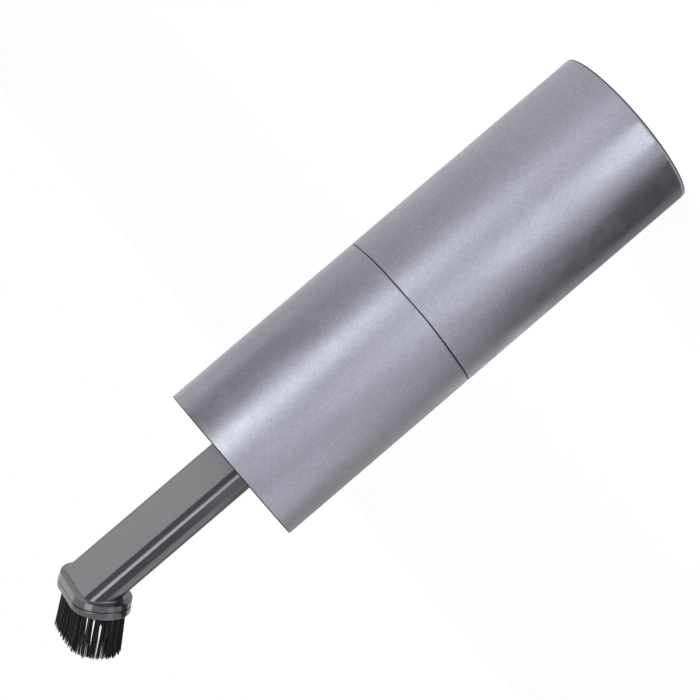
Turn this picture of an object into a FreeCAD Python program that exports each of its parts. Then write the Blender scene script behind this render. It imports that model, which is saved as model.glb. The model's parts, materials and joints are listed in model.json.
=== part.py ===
import FreeCAD, Part
import math
import os
import re
import Sketcher

Vector = FreeCAD.Vector
TOUCH = 0.001

# A desk vacuum cleaner the size of a large torch. It stands on its tail, and +Z runs from the
# tail to the front, where a flat nozzle slides out. The nozzle's long side lies along X, and
# its mouth slopes towards +Y. All sizes are in millimetres, angles in degrees.

SIZES = [
    ("body_diameter", "58.0", "outside of both aluminium sleeves"),
    ("body_length", "169.0", "from the foot to the front rim"),
    ("seam_gap", "0.4", "width of the dark line between the sleeves"),
    ("seam_recess", "0.4", "how far the dark line lies below the sleeves' surface"),
    ("cover_rise", "0.25", "fan's inlet cover above the end of the rear sleeve"),
    ("sleeve_wall", "1.5", "wall of both sleeves"),
    ("rim_chamfer", "0.25", "turned edges of the sleeves"),
    ("tail_rounding", "1.0", "rounded edge of the rear sleeve at the tail"),
    ("foot_height", "0.6", "how far the foot stands proud of the sleeve"),
    ("nest_gap", "0.05", "between a piece and the one it is pressed or glued into"),
    ("press_gap", "0.01", "between a shaft or pin and the hole it is pressed into"),
    ("thread_gap", "0.025", "round a screw in its thread"),
    ("slide_gap", "0.3", "between pieces that slide past each other by hand"),
    ("seal_gap", "0.1", "between a rubber seal and what slides in it"),
    ("tail_recess", "2.0", "depth of the tail cap's face inside the tail lip"),
    ("cap_thickness", "2.2", "tail cap plate"),
    ("foot_ledge", "1.1", "tail cap's lip outside the foot's groove"),
    ("lip_ledge", "0.8", "tail cap's lip inside the foot's groove"),
    ("foot_width", "2.6", "rubber foot, across the ring"),
    ("foot_depth", "1.5", "depth of the foot's groove in the lip"),
    ("vent_count", "15", "slots in the tail cap"),
    ("vent_sweep", "280.0", "part of the circle that the slots take"),
    ("vent_width", "1.8", "one slot"),
    ("vent_near", "3.65", "between the light ring and a slot"),
    ("vent_far", "2.25", "between a slot and the lip"),
    ("button_radius", "6.2", "power button's cap"),
    ("button_sink", "1.4", "button's face above the surface that the foot stands on"),
    ("button_travel", "1.0", "how far the button is pressed"),
    ("button_rest", "0.2", "between the light ring's flange and the button's flange"),
    ("button_flange", "0.8", "thickness of the button's flange"),
    ("button_dish", "0.5", "depth of the hollow in the button's face"),
    ("button_slope", "2.4", "sloped edge of the hollow in the button's face"),
    ("button_pip", "1.7", "radius of the pip that presses the switch"),
    ("pip_height", "0.35", "height of the pip that presses the switch"),
    ("guide_ring_wall", "1.7", "wall of the light ring round the button"),
    ("guide_ring_flange", "0.8", "flange of the light ring behind the cap"),
    ("port_inset", "7.35", "middle of the charging port inside the lip"),
    ("port_width", "8.94", "charging socket's shell"),
    ("port_height", "3.26", "charging socket's shell"),
    ("port_wall", "0.3", "sheet of the shell"),
    ("port_sink", "0.6", "shell's mouth behind the cap's face"),
    ("port_back", "1.6", "closed back of the shell"),
    ("port_gap", "0.2", "round the socket in the tail cap"),
    ("port_room", "0.6", "round the socket in the foam"),
    ("tongue_width", "6.7", "tongue in the charging socket"),
    ("tongue_thickness", "0.7", "tongue in the charging socket"),
    ("tongue_length", "4.4", "tongue in the charging socket"),
    ("foam_thickness", "2.4", "exhaust foam on the cap"),
    ("board_thickness", "1.6", "control board"),
    ("board_width", "26.0", "control board along X"),
    ("switch_side", "6.0", "switch body"),
    ("switch_body", "2.0", "height of the switch body"),
    ("switch_plunger", "0.6", "height of the switch plunger"),
    ("switch_plunger_radius", "1.7", "switch plunger"),
    ("led_length", "2.0", "one light-emitting diode"),
    ("led_width", "1.25", "one light-emitting diode"),
    ("led_height", "0.8", "one light-emitting diode"),
    ("led_radius", "8.4", "diodes from the axis"),
    ("spring_radius", "5.0", "button spring, middle of the wire"),
    ("spring_wire", "0.5", "button spring wire"),
    ("spring_pitch", "1.05", "one turn of the button spring"),
    ("standoff", "0.4", "gap between the board and the battery holder"),
    ("holder_plate", "1.4", "floor of the battery holder"),
    ("holder_boss", "2.3", "radius of a boss under the holder"),
    ("cell_diameter", "18.5", "18350 lithium cell"),
    ("cell_length", "35.0", "18350 lithium cell"),
    ("cell_gap", "0.7", "between the two cells"),
    ("cell_nub", "1.0", "height of the cell's positive button"),
    ("nub_radius", "3.7", "cell's positive button"),
    ("cradle_wall", "1.1", "wall round the lower end of a cell"),
    ("cradle_height", "10.0", "how far the cradle goes up the cell"),
    ("tab_thickness", "0.2", "nickel strip"),
    ("tab_width", "6.0", "nickel strip"),
    ("tab_length", "9.0", "nickel strip on one cell"),
    ("post_radius", "2.6", "posts between holder and lid"),
    ("post_inset", "6.85", "middle of a post inside the sleeve's bore"),
    ("post_turn", "53.7", "direction of a post, from X"),
    ("window_gap", "0.95", "between a cradle and an air window"),
    ("window_width", "15.0", "air windows along X"),
    ("window_rim", "4.8", "plate left outside an air window"),
    ("lid_plate", "1.6", "plate over the cells"),
    ("screw_shank", "2.0", "small screws, thread diameter"),
    ("screw_head", "3.6", "small screws, head diameter"),
    ("screw_head_height", "1.3", "small screws, head"),
    ("screw_slot", "0.6", "small screws, width and depth of the cross"),
    ("screw_cross", "2.2", "small screws, length of the cross"),
    ("cap_screw_count", "3", "screws through the tail cap"),
    ("cap_screw_turn", "30.0", "direction of the first of them, from X"),
    ("lid_screw_length", "8.0", "lid screws below the head"),
    ("screw_cover", "0.2", "plastic over the end of a board screw"),
    ("board_screw_x", "10.0", "board screws from the middle, along X"),
    ("board_screw_y", "9.0", "board screws from the middle, along Y"),
    ("can_diameter", "24.4", "motor can"),
    ("can_length", "25.6", "motor can"),
    ("bell_inset", "1.2", "end bell inside the outline of the can"),
    ("bell_length", "2.0", "plastic end bell of the motor"),
    ("motor_boss", "3.5", "radius of the motor's front bearing boss"),
    ("motor_boss_height", "2.6", "front bearing boss"),
    ("motor_screw_inset", "4.0", "motor screws inside the outline of the can"),
    ("shaft_diameter", "2.0", "motor shaft"),
    ("rubber_wall", "0.9", "rubber motor mounts"),
    ("rubber_floor", "1.0", "rubber under the motor"),
    ("rubber_lip", "5.0", "height of the rear mount round the motor"),
    ("rubber_front", "1.4", "rubber between motor and fan housing"),
    ("chassis_wall", "1.6", "tube round the motor"),
    ("chassis_rib", "1.6", "thickness of a rib of the chassis"),
    ("rib_count", "4", "ribs of the chassis"),
    ("fan_floor", "1.8", "floor of the fan housing"),
    ("fan_wall", "1.6", "wall of the fan housing"),
    ("fan_outlets", "8", "outlets in the fan housing's floor"),
    ("outlet_inset", "1.15", "between an outlet and the housing's wall"),
    ("outlet_hole", "2.6", "radius of one outlet"),
    ("impeller_gap", "1.75", "round the impeller"),
    ("impeller_lift", "0.9", "impeller above the housing's floor"),
    ("impeller_plate", "0.9", "impeller back plate"),
    ("impeller_hub", "4.0", "impeller hub radius"),
    ("hub_height", "5.4", "impeller hub"),
    ("hub_top", "2.8", "impeller hub radius at its top"),
    ("blade_count", "9", "impeller blades"),
    ("blade_height", "6.0", "impeller blades above the plate"),
    ("blade_thickness", "0.8", "impeller blades"),
    ("blade_curve", "15.0", "radius of a blade's bend"),
    ("blade_root", "5.6", "blades start here, from the axis"),
    ("blade_inset", "2.0", "blade tips inside the edge of the plate"),
    ("cover_gap", "0.7", "between the blades and the inlet cover"),
    ("cover_plate", "1.5", "inlet cover"),
    ("inlet_radius", "9.5", "inlet of the fan"),
    ("inlet_lip", "1.0", "raised edge of the inlet"),
    ("spoke_width", "1.2", "finger guard across the inlet"),
    ("collar_root", "12.0", "how far the collar goes into the rear sleeve"),
    ("spigot_height", "9.4", "how far the collar goes into the front half"),
    ("spigot_wall", "1.7", "wall of the spigot"),
    ("ring_section", "1.6", "section of the cup seal"),
    ("ring_height", "4.8", "cup seal above the seam"),
    ("gasket_height", "1.0", "rubber under the filter"),
    ("gasket_width", "2.9", "rubber under the filter, across the ring"),
    ("frame_wall", "1.2", "filter frame"),
    ("frame_grid", "1.0", "bars under the pleats"),
    ("frame_flange", "1.2", "flange of the filter frame on the spigot"),
    ("pleat_height", "5.6", "pleated filter"),
    ("pleat_pitch", "2.6", "one pleat"),
    ("pleat_paper", "0.5", "pleated filter sheet"),
    ("mesh_thickness", "0.4", "metal mesh over the pleats"),
    ("mesh_hole", "1.0", "radius of a mesh hole"),
    ("mesh_ring", "3.6", "step between rings of mesh holes"),
    ("mesh_holes_per_ring", "7", "holes added with each ring"),
    ("cup_lift", "0.4", "dust cup above the collar's flange"),
    ("cup_wall", "1.55", "wall of the dust cup"),
    ("front_recess", "2.6", "front plate behind the front rim"),
    ("front_plate", "2.0", "front plate of the dust cup"),
    ("nozzle_half", "9.44", "nozzle section: half its straight side"),
    ("nozzle_round", "4.3", "nozzle section: radius of its ends"),
    ("nozzle_wall", "1.4", "wall of the nozzle"),
    ("retract_gap", "1.4", "between the filter and the nozzle when it is slid in"),
    ("nozzle_reach", "58.7", "from the front rim to the mouth plane, on the axis"),
    ("mouth_slant", "45.0", "turn of the mouth from square"),
    ("overhang", "2.66", "bead beyond the nozzle's ends"),
    ("mouth_round", "9.61", "bead: radius of its ends"),
    ("mouth_shift", "1.5", "bead off the axis, down the slope"),
    ("bead_thickness", "1.6", "bead round the mouth"),
    ("neck_thickness", "0.9", "groove under the bead"),
    ("neck_depth", "0.9", "groove under the bead"),
    ("spigot_step", "1.6", "mouth spigot inside the bead's edge"),
    ("mouth_spigot", "0.9", "mouth spigot, length"),
    ("mouth_rim", "1.3", "wall of the mouth spigot"),
    ("mouth_fillet", "0.9", "round between nozzle and bead"),
    ("brush_thickness", "2.2", "brush ring"),
    ("brush_band", "3.71", "brush ring from its edge to its opening"),
    ("tuft_inset", "2.31", "row of tufts inside the ring's edge"),
    ("tuft_radius", "0.8", "one tuft at its root"),
    ("tuft_tip", "0.95", "one tuft at its tip"),
    ("tuft_pitch", "2.35", "about one tuft to the next"),
    ("tuft_length", "14.6", "bristles that stand out of the ring"),
    ("tuft_root", "0.8", "bristles set into the ring"),
    ("stop_height", "3.0", "stop at the nozzle's inner end"),
    ("stop_width", "2.0", "how far the stop stands out"),
    ("stop_gap", "0.6", "between stop and guide, nozzle drawn out"),
    ("guide_length", "10.8", "nozzle guide behind the front plate"),
    ("guide_wall", "1.6", "wall of the nozzle guide"),
    ("guide_flange", "1.6", "flange of the nozzle guide"),
    ("flange_gap", "5.9", "between the guide's flange and the cup's wall"),
    ("guide_screw_inset", "2.4", "guide screws inside the flange's edge"),
    ("guide_screw_count", "4", "screws of the nozzle guide"),
    ("guide_screw_turn", "45.0", "direction of the first of them, from X"),
    ("guide_screw_length", "3.0", "guide screws below the head"),
    ("seal_height", "2.0", "nozzle seal"),
    ("seal_depth", "0.9", "groove for the nozzle seal"),
    ("seal_below", "4.0", "seal behind the guide's flange"),
    ("bezel_wall", "1.2", "bezel in the front plate"),
    ("bezel_lip", "1.5", "bezel's lip over the front plate"),
    ("bezel_proud", "0.8", "thickness of the bezel's lip"),
    ("flap_height", "7.5", "flap's pin above the nozzle's inner end"),
    ("flap_thickness", "0.7", "dust flap"),
    ("flap_gap", "0.3", "between the flap and the duct"),
    ("pin_diameter", "1.0", "flap's pin"),
    ("knuckle_wall", "0.3", "flap's sleeve round its pin"),
    ("knuckle_gap", "0.25", "between the flap's sleeve and the duct"),
    ("pin_gap", "0.05", "running gap on the pin"),
    ("pin_inset", "0.4", "pin's end below the nozzle's surface"),
]

DOC = FreeCAD.newDocument("DeskVacuum")
SHEET = DOC.addObject("Spreadsheet::Sheet", "Sizes")
NAMES = [name for name, text, words in SIZES]
PIECES = []


def fill_sheet():
    """Write every driving size into the sheet, one row each."""
    for row, (name, text, words) in enumerate(SIZES, start=1):
        SHEET.set(f"A{row}", words)
        SHEET.set(f"B{row}", text)
        SHEET.setAlias(f"B{row}", name)
    DOC.recompute()


def bound(formula):
    """The formula with each size's name pointing at its cell in the sheet."""
    def cell(word):
        return "Sizes." + word.group() if word.group() in NAMES else word.group()
    return re.sub(r"[a-z][a-z_]+", cell, formula)


def value(formula):
    """What the formula comes to with the sheet as it is."""
    return float(SHEET.evalExpression(bound(formula)))


# Places that several pieces share, as formulas over the sheet
BODY_R = "(body_diameter / 2)"
BORE_R = "(body_diameter / 2 - sleeve_wall)"
NEST_R = "(body_diameter / 2 - sleeve_wall - nest_gap)"
CLEAR_R = "(screw_shank / 2 + nest_gap)"
THREAD_R = "(screw_shank / 2 + thread_gap)"
CAP_FACE = "(foot_height + tail_recess)"
CAP_BACK = f"({CAP_FACE} + cap_thickness)"
LIP_LOW = "(foot_height + rim_chamfer)"
GROOVE_TOP = f"({LIP_LOW} + foot_depth)"
GROOVE_OUT = f"({NEST_R} - foot_ledge)"
FOOT_R = f"({GROOVE_OUT} - nest_gap - foot_width / 2)"
GROOVE_IN = f"({FOOT_R} - foot_width / 2 - nest_gap)"
LIP_R = f"({GROOVE_IN} - lip_ledge)"
RING_BORE = "(button_radius + slide_gap - nest_gap)"
RING_OUT = f"({RING_BORE} + guide_ring_wall)"
RING_TOP = f"({CAP_BACK} + guide_ring_flange)"
VENT_IN = f"({RING_OUT} + vent_near)"
VENT_OUT = f"({LIP_R} - vent_far)"
PORT_Y = f"(port_inset - {LIP_R})"
BUTTON_FLANGE = f"({RING_TOP} + button_rest)"
BUTTON_TOP = f"({BUTTON_FLANGE} + button_flange)"
PIP_TOP = f"({BUTTON_TOP} + pip_height)"
SWITCH_LOW = f"({PIP_TOP} + nest_gap + button_travel)"
BOARD_LOW = f"({SWITCH_LOW} + switch_plunger + switch_body)"
BOARD_TOP = f"({BOARD_LOW} + board_thickness)"
BOARD_R = f"({FOOT_R} - holder_boss - slide_gap)"
HOLDER_LOW = f"({BOARD_TOP} + standoff)"
HOLDER_TOP = f"({HOLDER_LOW} + holder_plate)"
BOARD_SCREW = f"({HOLDER_TOP} - screw_cover - {BOARD_LOW})"
CELL_X = "(cell_diameter / 2 + cell_gap / 2)"
CELL_LOW = f"({HOLDER_TOP} + tab_thickness)"
CELL_TOP = f"({CELL_LOW} + cell_length)"
CRADLE_R = "(cell_diameter / 2 + 2 * nest_gap)"
WINDOW_IN = f"({CRADLE_R} + cradle_wall + window_gap)"
POST_X = f"(({NEST_R} - post_inset) * cos(post_turn))"
POST_Y = f"(({NEST_R} - post_inset) * sin(post_turn))"
LID_LOW = f"({CELL_TOP} + tab_thickness + nest_gap)"
LID_TOP = f"({LID_LOW} + lid_plate)"
BELL_LOW = f"({LID_TOP} + rubber_floor)"
CAN_LOW = f"({BELL_LOW} + bell_length)"
CAN_TOP = f"({CAN_LOW} + can_length)"
CAN_R = "(can_diameter / 2)"
MOTOR_SCREW_R = "(can_diameter / 2 - motor_screw_inset)"
RUBBER_R = "(can_diameter / 2 + nest_gap + rubber_wall)"
CHASSIS_IN = "(can_diameter / 2 + 2 * nest_gap + rubber_wall)"
CHASSIS_OUT = f"({CHASSIS_IN} + chassis_wall)"
FAN_LOW = f"({CAN_TOP} + rubber_front)"
FAN_FLOOR = f"({FAN_LOW} + fan_floor)"
IMPELLER_LOW = f"({FAN_FLOOR} + impeller_lift)"
IMPELLER_DISC = f"({IMPELLER_LOW} + impeller_plate)"
BLADE_TOP = f"({IMPELLER_DISC} + blade_height)"
COVER_LOW = f"({BLADE_TOP} + cover_gap)"
COVER_TOP = f"({COVER_LOW} + cover_plate)"
SEAM_LOW = f"({COVER_TOP} - cover_rise)"
SEAM_HIGH = f"({SEAM_LOW} + seam_gap)"
CUP_IN = f"({NEST_R} - cup_wall)"
SPIGOT_OUT = f"({CUP_IN} - seal_gap - slide_gap)"
SPIGOT_IN = f"({SPIGOT_OUT} - spigot_wall)"
SPIGOT_TOP = f"({SEAM_HIGH} + spigot_height)"
HOUSING_R = f"({SPIGOT_IN} - nest_gap)"
OUTLET_R = f"({HOUSING_R} - fan_wall - outlet_inset - outlet_hole)"
IMPELLER_R = f"({HOUSING_R} - fan_wall - impeller_gap)"
BLADE_X = "(blade_root + blade_curve)"
BLADE_TIP = f"({IMPELLER_R} - blade_inset)"
BLADE_COSINE = f"(({BLADE_X} ^ 2 + blade_curve ^ 2 - {BLADE_TIP} ^ 2) / (2 * {BLADE_X} * blade_curve))"
SEAL_LOW = f"({SEAM_HIGH} + ring_height)"
SEAL_IN = f"({SPIGOT_OUT} + slide_gap - ring_section)"
FRAME_LOW = f"({COVER_TOP} + gasket_height)"
FRAME_R = f"({SPIGOT_IN} - slide_gap)"
FRAME_TOP = f"({SPIGOT_TOP} + frame_flange)"
PLEAT_LOW = f"({FRAME_LOW} + frame_grid)"
PLEAT_R = f"({FRAME_R} - frame_wall - nest_gap)"
PLATE_TOP = "(body_length - front_recess)"
PLATE_LOW = "(body_length - front_recess - front_plate)"
GUIDE_IN = "(nozzle_round + slide_gap)"
GUIDE_OUT = f"({GUIDE_IN} + guide_wall)"
GUIDE_LOW = f"({PLATE_LOW} - guide_length)"
GUIDE_FLANGE_R = f"({CUP_IN} - flange_gap)"
GUIDE_SCREW_R = f"({GUIDE_FLANGE_R} - guide_screw_inset)"
NOZZLE_END = f"({GUIDE_LOW} - stop_gap - stop_height)"
NOZZLE_TRAVEL = f"({NOZZLE_END} - retract_gap - {FRAME_TOP})"
NOZZLE_SEAL_TOP = f"({PLATE_LOW} - guide_flange - seal_below)"
FLAP_Z = f"({NOZZLE_END} + flap_height)"
DUCT_R = "(nozzle_round - nozzle_wall)"
KNUCKLE_IN = "(pin_diameter / 2 + pin_gap)"
KNUCKLE_OUT = "(pin_diameter / 2 + pin_gap + knuckle_wall)"
FLAP_Y = f"({KNUCKLE_OUT} + knuckle_gap - {DUCT_R})"
PIN_REACH = f"(nozzle_half + sqrt(nozzle_round ^ 2 - {FLAP_Y} ^ 2) - pin_inset)"
MOUTH_Z = "(body_length + nozzle_reach)"
MOUTH_HALF = "(nozzle_half + nozzle_round + overhang - mouth_round)"
SPIGOT_MOUTH = "(mouth_round - spigot_step)"
BRUSH_BACK = "(bead_thickness + neck_thickness)"
BRUSH_FACE = "(bead_thickness + neck_thickness + brush_thickness)"
PAIR = "2"


def body(label):
    """A new body that becomes one node."""
    made = DOC.addObject("PartDesign::Body", label)
    made.Label = label
    made.Placement = FreeCAD.Placement()
    PIECES.append(made)
    return made


def origin_part(owner, role):
    """One of the body's own origin planes or axes."""
    return [item for item in owner.Origin.OriginFeatures if item.Role == role][0]


class Drawing:
    """A sketch whose sizes are all bound to the sheet."""

    def __init__(self, owner, name, level="0", plane="XY_Plane", slant=False, turn=None):
        self.sketch = owner.newObject("Sketcher::SketchObject", name)
        self.sketch.AttachmentSupport = (origin_part(owner, plane), "")
        self.sketch.MapMode = "FlatFace"
        if slant:
            self.on_mouth(level)
            return
        axis = Vector(0, 0, 1)
        angle = value(turn) if turn else 0
        self.sketch.AttachmentOffset = FreeCAD.Placement(
            Vector(0, 0, value(level)), FreeCAD.Rotation(axis, angle))
        self.sketch.setExpression("AttachmentOffset.Base.z", bound(level))
        if turn:
            self.sketch.setExpression("AttachmentOffset.Rotation.Angle", bound(turn))

    def on_mouth(self, level):
        """Lay the sketch square to the mouth, level millimetres beyond the mouth plane."""
        base_y = f"({level}) * sin(mouth_slant)"
        base_z = f"{MOUTH_Z} + ({level}) * cos(mouth_slant)"
        self.sketch.AttachmentOffset = FreeCAD.Placement(
            Vector(0, value(base_y), value(base_z)),
            FreeCAD.Rotation(Vector(-1, 0, 0), value("mouth_slant")))
        self.sketch.setExpression("AttachmentOffset.Base.y", bound(base_y))
        self.sketch.setExpression("AttachmentOffset.Base.z", bound(base_z))
        self.sketch.setExpression("AttachmentOffset.Rotation.Angle", bound("mouth_slant"))

    def rule(self, kind, *refs_and_formula):
        """Add one dimension and bind it."""
        formula = refs_and_formula[-1]
        refs = refs_and_formula[:-1]
        index = self.sketch.addConstraint(Sketcher.Constraint(kind, *refs, value(formula)))
        self.sketch.setExpression(f"Constraints[{index}]", bound(formula))

    def spot(self, item, corner, x, y):
        """Place one point of the sketch."""
        self.rule("DistanceX", -1, 1, item, corner, x)
        self.rule("DistanceY", -1, 1, item, corner, y)

    def circle(self, radius, x="0", y="0"):
        centre = Vector(value(x), value(y), 0)
        item = self.sketch.addGeometry(Part.Circle(centre, Vector(0, 0, 1), value(radius)))
        self.rule("Radius", item, radius)
        self.spot(item, 3, x, y)
        return self

    def outline(self, points):
        """A closed outline of straight sides through the given corners."""
        corners = [Vector(value(x), value(y), 0) for x, y in points]
        items = []
        for index, corner in enumerate(corners):
            following = corners[(index + 1) % len(corners)]
            items.append(self.sketch.addGeometry(Part.LineSegment(corner, following)))
        for index, item in enumerate(items):
            following = items[(index + 1) % len(items)]
            self.sketch.addConstraint(Sketcher.Constraint("Coincident", item, 2, following, 1))
        for item, (x, y) in zip(items, points):
            self.spot(item, 1, x, y)
        return self

    def box(self, width, depth, x="0", y="0"):
        """A rectangle about a middle point."""
        west = f"({x}) - ({width}) / 2"
        east = f"({x}) + ({width}) / 2"
        south = f"({y}) - ({depth}) / 2"
        north = f"({y}) + ({depth}) / 2"
        return self.outline([(west, south), (east, south), (east, north), (west, north)])

    def stadium(self, half, radius, x="0", y="0"):
        """Two half circles joined by straight sides along the sketch's X."""
        reach = value(half)
        arc_radius = value(radius)
        middle = Vector(value(x), value(y), 0)
        ends = []
        for side in (1, -1):
            circle = Part.Circle(middle + Vector(side * reach, 0, 0), Vector(0, 0, 1), arc_radius)
            start = -math.pi / 2 * side
            ends.append(self.sketch.addGeometry(Part.ArcOfCircle(circle, start, start + math.pi)))
        right, left = ends
        top = self.sketch.addGeometry(Part.LineSegment(
            middle + Vector(reach, arc_radius, 0), middle + Vector(-reach, arc_radius, 0)))
        low = self.sketch.addGeometry(Part.LineSegment(
            middle + Vector(-reach, -arc_radius, 0), middle + Vector(reach, -arc_radius, 0)))
        for first, end, second, start in ((right, 2, top, 1), (top, 2, left, 1),
                                          (left, 2, low, 1), (low, 2, right, 1)):
            self.sketch.addConstraint(Sketcher.Constraint("Tangent", first, end, second, start))
        self.rule("Radius", right, radius)
        self.spot(right, 3, f"({x}) + ({half})", y)
        self.spot(left, 3, f"({x}) - ({half})", y)
        return self


def feature(owner, kind, name, drawing):
    """A feature of the body that reads one sketch."""
    made = owner.newObject(f"PartDesign::{kind}", name)
    made.Profile = drawing.sketch
    drawing.sketch.Visibility = False
    return made


def grown(owner, before, made, more):
    """Stop if a feature failed, or changed the volume the wrong way."""
    DOC.recompute()
    if "Invalid" in made.State or "Error" in made.State or made.Shape.isNull():
        raise RuntimeError(f"{owner.Label}: {made.Name} failed")
    change = made.Shape.Volume - before
    if (change > 0) != more or change == 0:
        raise RuntimeError(f"{owner.Label}: {made.Name} changed the volume by {change:.3f}")
    return made


def volume(owner):
    """The body's volume up to now."""
    DOC.recompute()
    return 0.0 if owner.Shape.isNull() else owner.Shape.Volume


def pad(owner, drawing, height, name="pad"):
    before = volume(owner)
    made = feature(owner, "Pad", name, drawing)
    made.setExpression("Length", bound(height))
    return grown(owner, before, made, True)


def pocket(owner, drawing, depth, name="pocket"):
    """Cut along the sketch's own normal, which is upwards on a level sketch."""
    before = volume(owner)
    made = feature(owner, "Pocket", name, drawing)
    made.Reversed = True
    made.setExpression("Length", bound(depth))
    return grown(owner, before, made, False)


def revolved(owner, points, name="turned"):
    """A piece turned about the Z axis from half its section, given as radius and height."""
    before = volume(owner)
    drawing = Drawing(owner, f"{name}_section", plane="XZ_Plane").outline(points)
    made = feature(owner, "Revolution", name, drawing)
    made.ReferenceAxis = (drawing.sketch, ["V_Axis"])
    made.Angle = 360
    return grown(owner, before, made, True)


def ring_points(inner, outer, low, high):
    """Half the section of a plain ring."""
    return [(inner, low), (outer, low), (outer, high), (inner, high)]


def repeated(owner, features, count, name="pattern", sweep="360"):
    """Copies of the features about the Z axis."""
    made = owner.newObject("PartDesign::PolarPattern", name)
    made.Originals = features
    made.Axis = (origin_part(owner, "Z_Axis"), [""])
    made.setExpression("Angle", bound(sweep))
    made.setExpression("Occurrences", bound(count))
    owner.Tip = made
    DOC.recompute()
    if "Invalid" in made.State or made.Shape.isNull():
        raise RuntimeError(f"{owner.Label}: {name} failed")
    return made


def edges_where(shape, test):
    """Names of the shape's edges that pass the test."""
    return [f"Edge{index}" for index, edge in enumerate(shape.Edges, start=1) if test(edge)]


def dressed(owner, kind, size, test, name):
    """Fillet or chamfer the edges of the tip that pass the test."""
    base = owner.Tip
    names = edges_where(base.Shape, test)
    made = owner.newObject(f"PartDesign::{kind}", name)
    made.Base = (base, names)
    made.setExpression("Radius" if kind == "Fillet" else "Size", bound(size))
    DOC.recompute()
    if "Invalid" in made.State or made.Shape.isNull() or not made.Shape.isValid():
        raise RuntimeError(f"{owner.Label}: {name} failed")
    return made


def level_circle(edge, radius, height):
    """Whether the edge is a circle about the Z axis of this radius at this height."""
    if not isinstance(edge.Curve, Part.Circle):
        return False
    same_radius = abs(edge.Curve.Radius - radius) < TOUCH
    return same_radius and abs(edge.Curve.Center.z - height) < TOUCH


def screws(label, spots, low, length, head_down=True, count=None):
    """A group of equal screws. Each stands at a spot, from the face under its head at low."""
    group = body(label)
    shank = "screw_shank / 2"
    head = "screw_head / 2"
    made = []
    head_low = f"({low}) - screw_head_height" if head_down else low
    shank_low = low if head_down else f"({low}) - ({length})"
    cross_low = head_low if head_down else f"({low}) + screw_head_height - screw_slot"
    for index, (x, y) in enumerate(spots):
        drawing = Drawing(group, f"shank_{index}", shank_low).circle(shank, x, y)
        made.append(pad(group, drawing, length, f"shank_pad_{index}"))
        drawing = Drawing(group, f"head_{index}", head_low).circle(head, x, y)
        made.append(pad(group, drawing, "screw_head_height", f"head_pad_{index}"))
        for name, wide, deep in (("slot_x", "screw_cross", "screw_slot"),
                                 ("slot_y", "screw_slot", "screw_cross")):
            drawing = Drawing(group, f"{name}_{index}", cross_low).box(wide, deep, x, y)
            made.append(pocket(group, drawing, "screw_slot", f"{name}_cut_{index}"))
    if count:
        repeated(group, made, count)
    return group


def make_rear_sleeve():
    sleeve = body("rear_sleeve")
    revolved(sleeve, [
        (BORE_R, "foot_height + rim_chamfer"),
        (f"{BORE_R} + rim_chamfer", "foot_height"),
        (BODY_R, "foot_height"),
        (BODY_R, f"{SEAM_LOW} - rim_chamfer"),
        (f"{BODY_R} - rim_chamfer", SEAM_LOW),
        (BORE_R, SEAM_LOW),
    ])
    corner = value(BODY_R)
    low = value("foot_height")
    dressed(sleeve, "Fillet", "tail_rounding", lambda edge: level_circle(edge, corner, low), "tail_round")


def make_front_sleeve():
    sleeve = body("front_sleeve")
    revolved(sleeve, [
        (BORE_R, SEAM_HIGH),
        (f"{BODY_R} - rim_chamfer", SEAM_HIGH),
        (BODY_R, f"{SEAM_HIGH} + rim_chamfer"),
        (BODY_R, "body_length - rim_chamfer"),
        (f"{BODY_R} - rim_chamfer", "body_length"),
        (f"{BORE_R} + rim_chamfer", "body_length"),
        (BORE_R, "body_length - rim_chamfer"),
    ])


def make_tail_cap():
    cap = body("tail_cap")
    revolved(cap, [
        (RING_OUT + " + nest_gap", CAP_FACE),
        (LIP_R, CAP_FACE),
        (LIP_R, LIP_LOW),
        (GROOVE_IN, LIP_LOW),
        (GROOVE_IN, GROOVE_TOP),
        (GROOVE_OUT, GROOVE_TOP),
        (GROOVE_OUT, LIP_LOW),
        (f"{NEST_R} - rim_chamfer", LIP_LOW),
        (NEST_R, f"{LIP_LOW} + rim_chamfer"),
        (NEST_R, CAP_BACK),
        (RING_OUT + " + nest_gap", CAP_BACK),
    ])
    half = "(port_width - port_height) / 2"
    port = Drawing(cap, "port_sketch", CAP_FACE).stadium(
        half, "port_height / 2 + port_gap", "0", PORT_Y)
    pocket(cap, port, "cap_thickness", "port_opening")
    middle = f"({VENT_IN} + {VENT_OUT}) / 2"
    reach = f"({VENT_OUT} - {VENT_IN} - vent_width) / 2"
    slot = Drawing(cap, "vent_sketch", CAP_FACE, turn="270 + (360 - vent_sweep) / 2").stadium(
        reach, "vent_width / 2", middle, "0")
    vent = pocket(cap, slot, "cap_thickness", "vent")
    repeated(cap, [vent], "vent_count", "vents", "vent_sweep")
    hole = Drawing(cap, "screw_sketch", GROOVE_TOP, turn="cap_screw_turn").circle(
        CLEAR_R, FOOT_R)
    drilled = pocket(cap, hole, f"{CAP_BACK} - {GROOVE_TOP}", "screw_hole")
    sink = Drawing(cap, "sink_sketch", GROOVE_TOP, turn="cap_screw_turn").circle(
        "screw_head / 2 + 2 * nest_gap", FOOT_R)
    sunk = pocket(cap, sink, "screw_head_height", "screw_sink")
    repeated(cap, [drilled, sunk], "cap_screw_count", "screw_holes")


def make_foot_ring():
    foot = body("foot_ring")
    inner = f"{FOOT_R} - foot_width / 2"
    outer = f"{FOOT_R} + foot_width / 2"
    revolved(foot, ring_points(inner, outer, "0", GROOVE_TOP))
    edges = (value(inner), value(outer))
    dressed(foot, "Fillet", "rim_chamfer",
            lambda edge: any(level_circle(edge, radius, 0) for radius in edges), "foot_round")


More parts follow.
